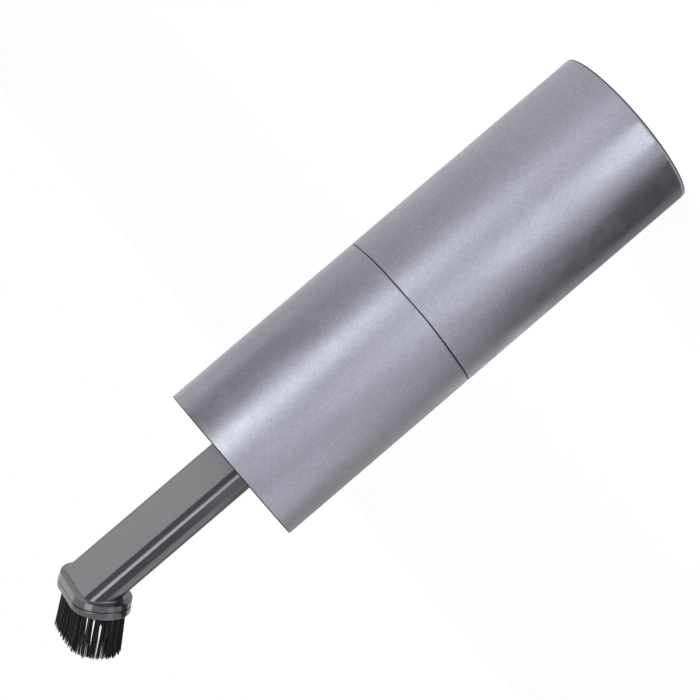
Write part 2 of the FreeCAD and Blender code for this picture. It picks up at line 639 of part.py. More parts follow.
def make_cap_screws():
    low = f"{GROOVE_TOP} + screw_head_height"
    spots = [(f"{FOOT_R} * cos(cap_screw_turn)", f"{FOOT_R} * sin(cap_screw_turn)")]
    screws("cap_screws", spots, low, f"{HOLDER_LOW} + nest_gap - ({low})", True, "cap_screw_count")


def make_indicator_ring():
    ring = body("indicator_ring")
    revolved(ring, [
        (RING_BORE, CAP_FACE),
        (RING_OUT, CAP_FACE),
        (RING_OUT, CAP_BACK),
        (f"{RING_OUT} + guide_ring_flange", CAP_BACK),
        (f"{RING_OUT} + guide_ring_flange", RING_TOP),
        (RING_BORE, RING_TOP),
    ])


def make_power_button():
    button = body("power_button")
    revolved(button, [
        ("0", "button_sink + button_dish"),
        ("button_radius - button_slope", "button_sink + button_dish"),
        ("button_radius - 2 * rim_chamfer", "button_sink"),
        ("button_radius", "button_sink + 2 * rim_chamfer"),
        ("button_radius", BUTTON_FLANGE),
        (f"{RING_OUT} - rim_chamfer", BUTTON_FLANGE),
        (f"{RING_OUT} - rim_chamfer", BUTTON_TOP),
        ("button_pip", BUTTON_TOP),
        ("button_pip", PIP_TOP),
        ("0", PIP_TOP),
    ])


def make_button_spring():
    spring = body("button_spring")
    low = f"({BUTTON_TOP} + spring_wire / 2)"
    high = f"({BOARD_LOW} - spring_wire / 2)"
    wire = Drawing(spring, "wire_section", plane="XZ_Plane").circle("spring_wire / 2", "spring_radius", low)
    coil = feature(spring, "AdditiveHelix", "coil", wire)
    coil.ReferenceAxis = (wire.sketch, ["V_Axis"])
    coil.Mode = "pitch-height-angle"
    coil.setExpression("Pitch", bound("spring_pitch"))
    coil.setExpression("Height", bound(f"{high} - {low}"))
    grown(spring, 0.0, coil, True)
    print("button spring: least gap between turns", round(value("spring_pitch - spring_wire"), 2))


def make_exhaust_foam():
    foam = body("exhaust_foam")
    inner = f"{RING_OUT} + guide_ring_flange + 2 * nest_gap"
    outer = f"{LIP_R} - slide_gap"
    revolved(foam, ring_points(inner, outer, CAP_BACK, f"{CAP_BACK} + foam_thickness"))
    room = Drawing(foam, "port_room", CAP_BACK).box(
        "port_width + 2 * port_room", "port_height + 2 * port_room", "0", PORT_Y)
    pocket(foam, room, "foam_thickness", "port_cut")


def make_control_board():
    board = body("control_board")
    disc = Drawing(board, "disc", BOARD_LOW).circle(BOARD_R)
    pad(board, disc, "board_thickness", "blank")
    for side in ("-", ""):
        middle = f"{side}(board_width / 2 + {BOARD_R} / 2)"
        cut = Drawing(board, "side_cut", BOARD_LOW).box(BOARD_R, f"2 * {BOARD_R}", middle)
        pocket(board, cut, "board_thickness", "side_pocket")
    for x in ("-board_screw_x", "board_screw_x"):
        for y in ("-board_screw_y", "board_screw_y"):
            hole = Drawing(board, "screw_hole", BOARD_LOW).circle(CLEAR_R, x, y)
            pocket(board, hole, "board_thickness", "drilled")


def make_usb_socket():
    shell = body("usb_c_socket")
    low = f"({CAP_FACE} + port_sink)"
    half = "(port_width - port_height) / 2"
    outer = Drawing(shell, "outer", low).stadium(half, "port_height / 2", "0", PORT_Y)
    pad(shell, outer, f"{BOARD_LOW} - {low}", "block")
    inner = Drawing(shell, "inner", low).stadium(
        half, "port_height / 2 - port_wall", "0", PORT_Y)
    pocket(shell, inner, f"{BOARD_LOW} - {low} - port_back", "mouth")
    tongue_low = f"({BOARD_LOW} - port_back - tongue_length)"
    tongue = Drawing(shell, "tongue", tongue_low).box(
        "tongue_width", "tongue_thickness", "0", PORT_Y)
    pad(shell, tongue, "tongue_length", "contact_tongue")


def make_switch():
    switch = body("tact_switch")
    housing = Drawing(switch, "housing", f"{BOARD_LOW} - switch_body").box("switch_side", "switch_side")
    pad(switch, housing, "switch_body", "case")
    plunger = Drawing(switch, "plunger", SWITCH_LOW).circle("switch_plunger_radius")
    pad(switch, plunger, "switch_plunger", "plunger_pad")


def make_leds():
    leds = body("status_leds")
    drawing = Drawing(leds, "chip", f"{BOARD_LOW} - led_height").box(
        "led_length", "led_width", "0", "led_radius")
    chip = pad(leds, drawing, "led_height", "diode")
    repeated(leds, [chip], PAIR, "diodes")


def board_spots():
    """The four board screws."""
    return [(f"{x}board_screw_x", f"{y}board_screw_y") for x in ("-", "") for y in ("-", "")]


def post_spots():
    """The four posts between the holder and its lid."""
    return [(f"{x}{POST_X}", f"{y}{POST_Y}") for x in ("-", "") for y in ("-", "")]


def cut_windows(owner, low, thickness):
    """Air windows on both sides of the cells."""
    limit = f"({NEST_R} - window_rim)"
    for side in ("-", ""):
        window = Drawing(owner, "window", low).box(
            "window_width", f"{limit} - {WINDOW_IN}", "0", f"{side}({limit} + {WINDOW_IN}) / 2")
        pocket(owner, window, thickness, "window_cut")


def make_battery_holder():
    holder = body("battery_holder")
    pad(holder, Drawing(holder, "floor", HOLDER_LOW).circle(NEST_R), "holder_plate", "plate")
    cut_windows(holder, HOLDER_LOW, "holder_plate")
    for side in ("-", ""):
        wall = Drawing(holder, "cradle", HOLDER_TOP).circle(
            f"{CRADLE_R} + cradle_wall", f"{side}{CELL_X}")
        pad(holder, wall, "cradle_height", "cradle_wall")
    for side in ("-", ""):
        room = Drawing(holder, "cell_room", HOLDER_TOP).circle(CRADLE_R, f"{side}{CELL_X}")
        pocket(holder, room, "cradle_height", "cell_pocket")
    strip = Drawing(holder, "strip_room", HOLDER_TOP).box(f"2 * {CELL_X}", "tab_width + slide_gap")
    pocket(holder, strip, "2 * tab_thickness", "strip_gap")
    for x, y in post_spots():
        post = Drawing(holder, "post", HOLDER_TOP).circle("post_radius", x, y)
        pad(holder, post, f"{LID_LOW} - {HOLDER_TOP}", "post_pad")
    for x, y in post_spots():
        hole = Drawing(holder, "post_hole", f"{LID_TOP} - lid_screw_length").circle(THREAD_R, x, y)
        pocket(holder, hole, "lid_screw_length - lid_plate", "post_bore")
    boss = Drawing(holder, "boss", CAP_BACK, turn="cap_screw_turn").circle("holder_boss", FOOT_R)
    boss_pad = pad(holder, boss, f"{HOLDER_LOW} - {CAP_BACK}", "boss_pad")
    bore = Drawing(holder, "boss_hole", CAP_BACK, turn="cap_screw_turn").circle(THREAD_R, FOOT_R)
    boss_bore = pocket(holder, bore, f"{HOLDER_LOW} - {CAP_BACK} + holder_plate / 2", "boss_bore")
    repeated(holder, [boss_pad, boss_bore], "cap_screw_count", "bosses")
    for x, y in board_spots():
        rest = Drawing(holder, "standoff", BOARD_TOP).circle("holder_boss", x, y)
        pad(holder, rest, "standoff", "standoff_pad")
        hole = Drawing(holder, "standoff_hole", BOARD_TOP).circle(THREAD_R, x, y)
        pocket(holder, hole, f"{BOARD_SCREW} - board_thickness", "standoff_bore")


def make_battery_lid():
    lid = body("battery_lid")
    pad(lid, Drawing(lid, "plate", LID_LOW).circle(NEST_R), "lid_plate", "plate_pad")
    cut_windows(lid, LID_LOW, "lid_plate")
    for x, y in post_spots():
        hole = Drawing(lid, "screw_hole", LID_LOW).circle(CLEAR_R, x, y)
        pocket(lid, hole, "lid_plate", "drilled")


def make_cell(label, side):
    cell = body(label)
    spread = f"{side}{CELL_X}"
    can = Drawing(cell, "can", CELL_LOW).circle("cell_diameter / 2", spread)
    pad(cell, can, "cell_length - cell_nub", "can_pad")
    nub = Drawing(cell, "nub", f"{CELL_TOP} - cell_nub").circle("nub_radius", spread)
    pad(cell, nub, "cell_nub", "positive_end")


def make_tabs():
    lower = body("battery_tab_lower")
    strip = Drawing(lower, "strip", HOLDER_TOP).box(f"2 * {CELL_X} + tab_width", "tab_width")
    pad(lower, strip, "tab_thickness", "strip_pad")
    upper = body("battery_tabs_upper")
    strip = Drawing(upper, "strip", CELL_TOP).box("tab_length", "tab_width", CELL_X)
    one = pad(upper, strip, "tab_thickness", "strip_pad")
    repeated(upper, [one], PAIR, "both")


def make_motor():
    bell = body("motor_end_bell")
    pad(bell, Drawing(bell, "bell", BELL_LOW).circle(f"{CAN_R} - bell_inset"), "bell_length", "bell_pad")
    can = body("motor_can")
    shaft_room = "(shaft_diameter / 2 + nest_gap)"
    revolved(can, [
        (shaft_room, CAN_LOW),
        (CAN_R, CAN_LOW),
        (CAN_R, CAN_TOP),
        ("motor_boss", CAN_TOP),
        ("motor_boss", f"{CAN_TOP} + motor_boss_height"),
        (shaft_room, f"{CAN_TOP} + motor_boss_height"),
    ])
    hole = Drawing(can, "thread", f"{CAN_TOP} - screw_shank").circle(THREAD_R, MOTOR_SCREW_R)
    thread = pocket(can, hole, "screw_shank", "thread_hole")
    repeated(can, [thread], PAIR, "threads")
    shaft = body("motor_shaft")
    pad(shaft, Drawing(shaft, "shaft", f"{CAN_LOW} + bell_length").circle("shaft_diameter / 2"),
        f"{IMPELLER_LOW} + hub_height - {CAN_LOW} - bell_length", "shaft_pad")


def make_motor_mounts():
    rear = body("motor_mount_rear")
    revolved(rear, [
        ("0", LID_TOP),
        (RUBBER_R, LID_TOP),
        (RUBBER_R, f"{LID_TOP} + rubber_lip"),
        (f"{CAN_R} + nest_gap", f"{LID_TOP} + rubber_lip"),
        (f"{CAN_R} + nest_gap", BELL_LOW),
        ("0", BELL_LOW),
    ])
    front = body("motor_mount_front")
    revolved(front, ring_points("motor_boss + nest_gap", RUBBER_R, CAN_TOP, FAN_LOW))
    hole = Drawing(front, "screw_room", CAN_TOP).circle(CLEAR_R, MOTOR_SCREW_R)
    room = pocket(front, hole, "rubber_front", "screw_pass")
    repeated(front, [room], PAIR, "screw_passes")


def make_motor_chassis():
    chassis = body("motor_chassis")
    revolved(chassis, ring_points(CHASSIS_IN, CHASSIS_OUT, LID_TOP, FAN_LOW), "tube")
    rib_low = f"({CHASSIS_OUT} - chassis_wall / 2)"
    drawing = Drawing(chassis, "rib", LID_TOP).box(
        f"{NEST_R} - chassis_rib / 2 - {rib_low}", "chassis_rib",
        f"({NEST_R} - chassis_rib / 2 + {rib_low}) / 2", "0")
    rib = pad(chassis, drawing, f"{SEAM_LOW} - collar_root - {LID_TOP} - nest_gap", "rib_pad")
    repeated(chassis, [rib], "rib_count", "ribs")


def make_fan_housing():
    housing = body("fan_housing")
    revolved(housing, [
        ("motor_boss + nest_gap", FAN_LOW),
        (HOUSING_R, FAN_LOW),
        (HOUSING_R, COVER_LOW),
        (f"{HOUSING_R} - fan_wall", COVER_LOW),
        (f"{HOUSING_R} - fan_wall", FAN_FLOOR),
        ("motor_boss + nest_gap", FAN_FLOOR),
    ])
    outlet = Drawing(housing, "outlet", FAN_LOW).circle("outlet_hole", OUTLET_R)
    one = pocket(housing, outlet, "fan_floor", "outlet_cut")
    repeated(housing, [one], "fan_outlets", "outlets")
    hole = Drawing(housing, "screw_pass", FAN_LOW).circle(CLEAR_R, MOTOR_SCREW_R)
    drilled = pocket(housing, hole, "fan_floor", "screw_drill")
    sink = Drawing(housing, "screw_sink", f"{FAN_FLOOR} - screw_head_height").circle(
        "screw_head / 2 + nest_gap", MOTOR_SCREW_R)
    sunk = pocket(housing, sink, "screw_head_height", "sink_cut")
    repeated(housing, [drilled, sunk], PAIR, "screw_seats")


def make_motor_screws():
    low = f"{FAN_FLOOR} - screw_head_height"
    length = "fan_floor - screw_head_height + rubber_front + screw_shank - nest_gap"
    screws("motor_screws", [(MOTOR_SCREW_R, "0")], low, length, False, PAIR)


def make_impeller():
    wheel = body("impeller")
    bore = "(shaft_diameter / 2 + press_gap)"
    revolved(wheel, [
        (bore, IMPELLER_LOW),
        (IMPELLER_R, IMPELLER_LOW),
        (IMPELLER_R, IMPELLER_DISC),
        ("impeller_hub", IMPELLER_DISC),
        ("hub_top", f"{IMPELLER_LOW} + hub_height"),
        (bore, f"{IMPELLER_LOW} + hub_height"),
    ], "hub_and_plate")
    blade = Drawing(wheel, "blade", IMPELLER_DISC)
    draw_blade(blade)
    one = pad(wheel, blade, "blade_height", "blade_pad")
    repeated(wheel, [one], "blade_count", "blades")


def draw_blade(drawing):
    """A backward-curved blade: a strip between two arcs about one centre on the X axis."""
    centre = Vector(value(BLADE_X), 0, 0)
    first = math.pi - math.acos(value(BLADE_COSINE))
    radii = ("blade_curve", "(blade_curve + blade_thickness)")
    arcs = []
    for radius in radii:
        circle = Part.Circle(centre, Vector(0, 0, 1), value(radius))
        arcs.append(drawing.sketch.addGeometry(Part.ArcOfCircle(circle, first, math.pi)))
    inner, outer = arcs
    for corner in (1, 2):
        near = drawing.sketch.getPoint(inner, corner)
        far = drawing.sketch.getPoint(outer, corner)
        end = drawing.sketch.addGeometry(Part.LineSegment(near, far))
        drawing.sketch.addConstraint(Sketcher.Constraint("Coincident", end, 1, inner, corner))
        drawing.sketch.addConstraint(Sketcher.Constraint("Coincident", end, 2, outer, corner))
    for arc, radius in zip(arcs, radii):
        drawing.rule("Radius", arc, radius)
        drawing.spot(arc, 3, BLADE_X, "0")
        drawing.rule("DistanceY", -1, 1, arc, 1, f"{radius} * sqrt(1 - {BLADE_COSINE} ^ 2)")
        drawing.rule("DistanceY", -1, 1, arc, 2, "0")


def make_inlet_cover():
    cover = body("fan_inlet_cover")
    revolved(cover, [
        ("inlet_radius", COVER_LOW),
        (HOUSING_R, COVER_LOW),
        (HOUSING_R, COVER_TOP),
        ("inlet_radius + inlet_lip", COVER_TOP),
        ("inlet_radius + inlet_lip / 2", f"{COVER_TOP} + inlet_lip / 2"),
        ("inlet_radius", f"{COVER_TOP} + inlet_lip / 2"),
    ])
    low = f"({COVER_TOP} - cover_plate / 2)"
    for wide, deep in (("2 * inlet_radius + inlet_lip", "spoke_width"),
                       ("spoke_width", "2 * inlet_radius + inlet_lip")):
        drawing = Drawing(cover, "spoke", low).box(wide, deep)
        pad(cover, drawing, "cover_plate / 2", "spoke_pad")


def make_seam_collar():
    collar = body("seam_collar")
    root_low = f"({SEAM_LOW} - collar_root)"
    groove_low = f"({SEAL_LOW} - nest_gap)"
    groove_high = f"({SEAL_LOW} + ring_section + nest_gap)"
    groove_r = f"({SEAL_IN} - nest_gap)"
    revolved(collar, [
        (SPIGOT_IN, root_low),
        (NEST_R, root_low),
        (NEST_R, SEAM_LOW),
        (f"{BODY_R} - seam_recess", SEAM_LOW),
        (f"{BODY_R} - seam_recess", SEAM_HIGH),
        (SPIGOT_OUT, SEAM_HIGH),
        (SPIGOT_OUT, groove_low),
        (groove_r, groove_low),
        (groove_r, groove_high),
        (SPIGOT_OUT, groove_high),
        (SPIGOT_OUT, f"{SPIGOT_TOP} - rim_chamfer"),
        (f"{SPIGOT_OUT} - rim_chamfer", SPIGOT_TOP),
        (SPIGOT_IN, SPIGOT_TOP),
    ])


def make_cup_seal():
    seal = body("cup_seal")
    middle = f"({SEAL_IN} + ring_section / 2)"
    height = f"({SEAL_LOW} + ring_section / 2)"
    drawing = Drawing(seal, "section", plane="XZ_Plane").circle("ring_section / 2", middle, height)
    made = feature(seal, "Revolution", "turned", drawing)
    made.ReferenceAxis = (drawing.sketch, ["V_Axis"])
    made.Angle = 360
    grown(seal, 0.0, made, True)


def make_filter_frame():
    frame = body("filter_frame")
    inner = f"({FRAME_R} - frame_wall)"
    revolved(frame, [
        (f"{inner} - frame_wall", FRAME_LOW),
        (FRAME_R, FRAME_LOW),
        (FRAME_R, SPIGOT_TOP),
        (SPIGOT_OUT, SPIGOT_TOP),
        (SPIGOT_OUT, f"{FRAME_TOP} - rim_chamfer"),
        (f"{SPIGOT_OUT} - rim_chamfer", FRAME_TOP),
        (inner, FRAME_TOP),
        (inner, PLEAT_LOW),
        (f"{inner} - frame_wall", PLEAT_LOW),
    ])
    for wide, deep in ((f"2 * {inner}", "frame_wall"), ("frame_wall", f"2 * {inner}")):
        drawing = Drawing(frame, "bar", FRAME_LOW).box(wide, deep)
        pad(frame, drawing, "frame_grid", "bar_pad")


def make_filter_gasket():
    gasket = body("filter_gasket")
    revolved(gasket, ring_points(f"{FRAME_R} - gasket_width", FRAME_R, COVER_TOP, FRAME_LOW))


def make_hepa_filter():
    """The pleats are a zigzag sheet, cut round."""
    low = value(PLEAT_LOW)
    height = value("pleat_height")
    pitch = value("pleat_pitch")
    paper = value("pleat_paper")
    radius = value(PLEAT_R)
    count = int(radius / pitch) + 1
    upper = []
    for step in range(-count, count + 1):
        upper.append((step * pitch, height))
        upper.append(((step + 0.5) * pitch, paper))
    lower = [(x, z - paper) for x, z in reversed(upper)]
    corners = [Vector(x, -radius, low + z) for x, z in upper + lower]
    sheet = Part.Face(Part.makePolygon(corners + corners[:1])).extrude(Vector(0, 2 * radius, 0))
    tube = Part.makeCylinder(radius, height, Vector(0, 0, low))
    pleats = DOC.addObject("Part::Feature", "hepa_filter")
    pleats.Label = "hepa_filter"
    pleats.Shape = sheet.common(tube)
    pleats.Placement = FreeCAD.Placement()
    PIECES.append(pleats)


def make_prefilter_mesh():
    mesh = body("prefilter_mesh")
    low = f"({PLEAT_LOW} + pleat_height + nest_gap)"
    pad(mesh, Drawing(mesh, "disc", low).circle(PLEAT_R), "mesh_thickness", "disc_pad")
    rings = int((value(PLEAT_R) - value("mesh_hole")) / value("mesh_ring"))
    for ring in range(1, rings + 1):
        hole = Drawing(mesh, "hole", low).circle("mesh_hole", f"{ring} * mesh_ring")
        cut = pocket(mesh, hole, "mesh_thickness", "hole_cut")
        repeated(mesh, [cut], f"{ring} * mesh_holes_per_ring", "ring_of_holes")


def make_dust_cup():
    cup = body("dust_cup")
    low = f"({SEAM_HIGH} + cup_lift)"
    revolved(cup, [
        (CUP_IN, low),
        (NEST_R, low),
        (NEST_R, PLATE_TOP),
        ("0", PLATE_TOP),
        ("0", PLATE_LOW),
        (CUP_IN, PLATE_LOW),
    ])
    opening = Drawing(cup, "opening", PLATE_LOW).stadium("nozzle_half", f"{GUIDE_IN} + bezel_wall + nest_gap")
    pocket(cup, opening, "front_plate", "opening_cut")
    hole = Drawing(cup, "guide_thread", PLATE_LOW, turn="guide_screw_turn").circle(THREAD_R, GUIDE_SCREW_R)
    one = pocket(cup, hole, "guide_screw_length - guide_flange", "thread_cut")
    repeated(cup, [one], "guide_screw_count", "threads")


def make_nozzle_guide():
    guide = body("nozzle_guide")
    sleeve = Drawing(guide, "sleeve", GUIDE_LOW).stadium("nozzle_half", GUIDE_OUT)
    pad(guide, sleeve, f"{PLATE_LOW} - {GUIDE_LOW}", "sleeve_pad")
    flange_low = f"({PLATE_LOW} - guide_flange)"
    flange = Drawing(guide, "flange", flange_low).circle(GUIDE_FLANGE_R)
    pad(guide, flange, "guide_flange", "flange_pad")
    room = Drawing(guide, "room", GUIDE_LOW).stadium("nozzle_half", GUIDE_IN)
    pocket(guide, room, f"{PLATE_LOW} - {GUIDE_LOW}", "room_cut")
    groove = Drawing(guide, "seal_room", f"{NOZZLE_SEAL_TOP} - seal_height").stadium(
        "nozzle_half", f"{GUIDE_IN} + seal_depth")
    pocket(guide, groove, "seal_height", "seal_groove")
    hole = Drawing(guide, "screw_pass", flange_low, turn="guide_screw_turn").circle(CLEAR_R, GUIDE_SCREW_R)
    one = pocket(guide, hole, "guide_flange", "screw_drill")
    repeated(guide, [one], "guide_screw_count", "screw_holes")


def make_guide_screws():
    low = f"{PLATE_LOW} - guide_flange"
    spots = [(f"{GUIDE_SCREW_R} * cos(guide_screw_turn)", f"{GUIDE_SCREW_R} * sin(guide_screw_turn)")]
    screws("guide_screws", spots, low, "guide_screw_length", True, "guide_screw_count")


def make_nozzle_seal():
    seal = body("nozzle_seal")
    low = f"({NOZZLE_SEAL_TOP} - seal_height + nest_gap)"
    outer = Drawing(seal, "outer", low).stadium("nozzle_half", f"{GUIDE_IN} + seal_depth - nest_gap")
    pad(seal, outer, "seal_height - 2 * nest_gap", "ring_pad")
    inner = Drawing(seal, "inner", low).stadium("nozzle_half", "nozzle_round + seal_gap")
    pocket(seal, inner, "seal_height - 2 * nest_gap", "ring_cut")


def make_nozzle_bezel():
    bezel = body("nozzle_bezel")
    ring = Drawing(bezel, "ring", PLATE_LOW).stadium("nozzle_half", f"{GUIDE_IN} + bezel_wall")
    pad(bezel, ring, "front_plate", "ring_pad")
    lip = Drawing(bezel, "lip", PLATE_TOP).stadium("nozzle_half", f"{GUIDE_IN} + bezel_wall + bezel_lip")
    pad(bezel, lip, "bezel_proud", "lip_pad")
    room = Drawing(bezel, "room", PLATE_LOW).stadium("nozzle_half", GUIDE_IN)
    pocket(bezel, room, "front_plate + bezel_proud", "room_cut")


def make_nozzle_tube():
    nozzle = body("nozzle_tube")
    top = f"({MOUTH_Z} + nozzle_round + mouth_round)"
    outer = Drawing(nozzle, "outer", NOZZLE_END).stadium("nozzle_half", "nozzle_round")
    pad(nozzle, outer, f"{top} - {NOZZLE_END}", "tube_pad")
    waste = Drawing(nozzle, "slant", "0", slant=True).box("body_diameter", "body_diameter")
    pocket(nozzle, waste, "body_diameter", "slant_cut")
    bead = Drawing(nozzle, "bead", "0", slant=True).stadium(MOUTH_HALF, "mouth_round", "0", "mouth_shift")
    pad(nozzle, bead, "bead_thickness", "bead_pad")
    neck = Drawing(nozzle, "neck", "bead_thickness", slant=True).stadium(
        MOUTH_HALF, "mouth_round - neck_depth", "0", "mouth_shift")
    pad(nozzle, neck, "neck_thickness", "neck_pad")
    spigot = Drawing(nozzle, "spigot", BRUSH_BACK, slant=True).stadium(
        MOUTH_HALF, SPIGOT_MOUTH, "0", "mouth_shift")
    pad(nozzle, spigot, "mouth_spigot", "spigot_pad")
    dish = Drawing(nozzle, "dish", "bead_thickness", slant=True).stadium(
        MOUTH_HALF, f"{SPIGOT_MOUTH} - mouth_rim", "0", "mouth_shift")
    pocket(nozzle, dish, "neck_thickness + mouth_spigot", "dish_cut")
    duct = Drawing(nozzle, "duct", NOZZLE_END).stadium("nozzle_half", DUCT_R)
    pocket(nozzle, duct, f"{top} - {NOZZLE_END}", "duct_cut")
    pin = Drawing(nozzle, "pin_hole", f"-{PIN_REACH}", plane="YZ_Plane").circle(
        "pin_diameter / 2 + press_gap", FLAP_Y, FLAP_Z)
    pocket(nozzle, pin, f"2 * {PIN_REACH}", "pin_bore")
    round_mouth(nozzle)
    print("nozzle: slides in by", round(value(NOZZLE_TRAVEL), 2))


def round_mouth(nozzle):
    """Round the inner corner where the tube runs into the bead."""
    slope = math.radians(value("mouth_slant"))
    away = Vector(0, math.sin(slope), math.cos(slope))
    crossing = Vector(0, 0, value(MOUTH_Z))
    tube_half = value("nozzle_half") + value("nozzle_round") + TOUCH
    thick_half = value("nozzle_round") + TOUCH
    duct_half = value(DUCT_R) + TOUCH

    def on_corner(edge):
        box = edge.BoundBox
        for point in edge.discretize(5):
            if abs((point - crossing).dot(away)) > TOUCH:
                return False
        if box.YMax > thick_half or box.YMin < -thick_half:
            return False
        return abs(box.XMax) <= tube_half and max(abs(box.YMax), abs(box.YMin)) > duct_half
    dressed(nozzle, "Fillet", "mouth_fillet", on_corner, "mouth_round_edge")


def make_nozzle_stop():
    stop = body("nozzle_stop")
    outer = Drawing(stop, "outer", NOZZLE_END).stadium("nozzle_half", "nozzle_round + stop_width")
    pad(stop, outer, "stop_height", "ring_pad")
    inner = Drawing(stop, "inner", NOZZLE_END).stadium("nozzle_half", "nozzle_round + nest_gap")
    pocket(stop, inner, "stop_height", "ring_cut")


def make_flap():
    pin = body("flap_pin")
    reach = f"({PIN_REACH} - nest_gap)"
    rod = Drawing(pin, "rod", f"-{reach}", plane="YZ_Plane").circle("pin_diameter / 2", FLAP_Y, FLAP_Z)
    pad(pin, rod, f"2 * {reach}", "rod_pad")
    flap = body("dust_flap")
    leaf_low = f"({FLAP_Z} - flap_thickness / 2)"
    leaf = Drawing(flap, "leaf", leaf_low).stadium("nozzle_half - flap_gap", f"{DUCT_R} - flap_gap")
    pad(flap, leaf, "flap_thickness", "leaf_pad")
    sleeve_half = "(nozzle_half - flap_gap)"
    sleeve = Drawing(flap, "sleeve", f"-{sleeve_half}", plane="YZ_Plane").circle(
        KNUCKLE_OUT, FLAP_Y, FLAP_Z)
    pad(flap, sleeve, f"2 * {sleeve_half}", "sleeve_pad")
    bore = Drawing(flap, "bore", f"-{PIN_REACH}", plane="YZ_Plane").circle(KNUCKLE_IN, FLAP_Y, FLAP_Z)
    pocket(flap, bore, f"2 * {PIN_REACH}", "bore_cut")


def tuft_spots():
    """Middle of each tuft along the mouth's rounded outline, as X and slope distance."""
    half = value(MOUTH_HALF)
    radius = value("mouth_round - tuft_inset")
    around = 4 * half + 2 * math.pi * radius
    count = max(2, round(around / value("tuft_pitch")))
    spots = []
    for index in range(count):
        spots.append(on_stadium(around * index / count, half, radius))
    return spots


def on_stadium(run, half, radius):
    """The point this far along a stadium's outline, from the middle of its lower side."""
    bend = math.pi * radius
    if run <= half:
        return run, -radius
    run -= half
    if run <= bend:
        angle = run / radius - math.pi / 2
        return half + radius * math.cos(angle), radius * math.sin(angle)
    run -= bend
    if run <= 2 * half:
        return half - run, radius
    run -= 2 * half
    if run <= bend:
        angle = run / radius + math.pi / 2
        return radius * math.cos(angle) - half, radius * math.sin(angle)
    return run - bend - half, -radius


def mouth_place(level):
    """A placement square to the mouth, level millimetres beyond the mouth plane."""
    slope = value("mouth_slant")
    along = Vector(0, math.sin(math.radians(slope)), math.cos(math.radians(slope)))
    return FreeCAD.Placement(Vector(0, 0, value(MOUTH_Z)) + along * level,
                             FreeCAD.Rotation(Vector(-1, 0, 0), slope))


def make_brush_ring():
    ring = body("brush_ring")
    outer = Drawing(ring, "outer", BRUSH_BACK, slant=True).stadium(
        MOUTH_HALF, "mouth_round", "0", "mouth_shift")
    pad(ring, outer, "brush_thickness", "ring_pad")
    socket = Drawing(ring, "socket", BRUSH_BACK, slant=True).stadium(
        MOUTH_HALF, f"{SPIGOT_MOUTH} + seal_gap", "0", "mouth_shift")
    pocket(ring, socket, "mouth_spigot + seal_gap", "socket_cut")
    opening = Drawing(ring, "opening", BRUSH_BACK, slant=True).stadium(
        MOUTH_HALF, "mouth_round - brush_band", "0", "mouth_shift")
    pocket(ring, opening, "brush_thickness", "opening_cut")
    holes = Drawing(ring, "tuft_holes", f"{BRUSH_FACE} - tuft_root", slant=True)
    for x, slope in tuft_spots():
        centre = Vector(x, slope + value("mouth_shift"), 0)
        item = holes.sketch.addGeometry(Part.Circle(centre, Vector(0, 0, 1), value("tuft_radius + nest_gap")))
        holes.sketch.addConstraint(Sketcher.Constraint("Block", item))
    pocket(ring, holes, "tuft_root", "tuft_sockets")


def make_bristle_tufts():
    """Each tuft widens a little towards its tip."""
    length = value("tuft_root + tuft_length")
    tufts = []
    for x, slope in tuft_spots():
        root = Vector(x, slope + value("mouth_shift"), 0)
        tufts.append(Part.makeCone(value("tuft_radius"), value("tuft_tip"), length, root))
    group = Part.makeCompound(tufts)
    group.Placement = mouth_place(value(f"{BRUSH_FACE} - tuft_root"))
    bristles = DOC.addObject("Part::Feature", "bristle_tufts")
    bristles.Label = "bristle_tufts"
    bristles.Shape = Part.makeCompound([solid.copy() for solid in group.Solids])
    bristles.Placement = FreeCAD.Placement()
    PIECES.append(bristles)


def make_all():
    make_rear_sleeve()
    make_tail_cap()
    make_foot_ring()
    make_cap_screws()
    make_indicator_ring()
    make_power_button()
    make_button_spring()
    make_exhaust_foam()
    make_control_board()
    make_usb_socket()
    make_switch()
    make_leds()
    screws("board_screws", board_spots(), BOARD_LOW, BOARD_SCREW, True)
    make_battery_holder()
    make_battery_lid()
    make_cell("battery_cell_left", "-")
    make_cell("battery_cell_right", "")
    make_tabs()
    screws("lid_screws", post_spots(), LID_TOP, "lid_screw_length", False)
    make_motor()
    make_motor_mounts()
    make_motor_chassis()
    make_motor_screws()
    make_fan_housing()
    make_impeller()
    make_inlet_cover()
    make_seam_collar()
    make_cup_seal()
    make_filter_frame()
    make_filter_gasket()
    make_hepa_filter()
    make_prefilter_mesh()
    make_front_sleeve()
    make_dust_cup()
    make_nozzle_guide()
    make_guide_screws()
    make_nozzle_seal()
    make_nozzle_bezel()
    make_nozzle_tube()
    make_nozzle_stop()
    make_flap()
    make_brush_ring()
    make_bristle_tufts()


def write_all():
    """Check every object of the document, then write one file per piece."""
    DOC.recompute()
    for item in DOC.Objects:
        if "Invalid" in item.State or "Error" in item.State:
            raise RuntimeError(f"{item.Label} is not sound: {item.State}")
    for piece in PIECES:
        if piece.Shape.isNull() or not piece.Shape.isValid() or not piece.Shape.Solids:
            raise RuntimeError(f"{piece.Label} has no valid solid")
    os.makedirs("parts", exist_ok=True)
    for piece in PIECES:
        piece.Shape.exportStep(f"parts/{piece.Label}.step")
    print(len(PIECES), "pieces written")


fill_sheet()
make_all()
write_all()
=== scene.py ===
"""The look of a desk vacuum cleaner: its finishes, rounded edges and bristles, and a plain stage.

Lengths are metres. The part stands on its tail, and +Z runs towards the brush.
"""
import json
import math

import bmesh
import bpy
from bpy.props import FloatProperty, FloatVectorProperty, IntProperty, PointerProperty
from mathutils import Matrix, Vector


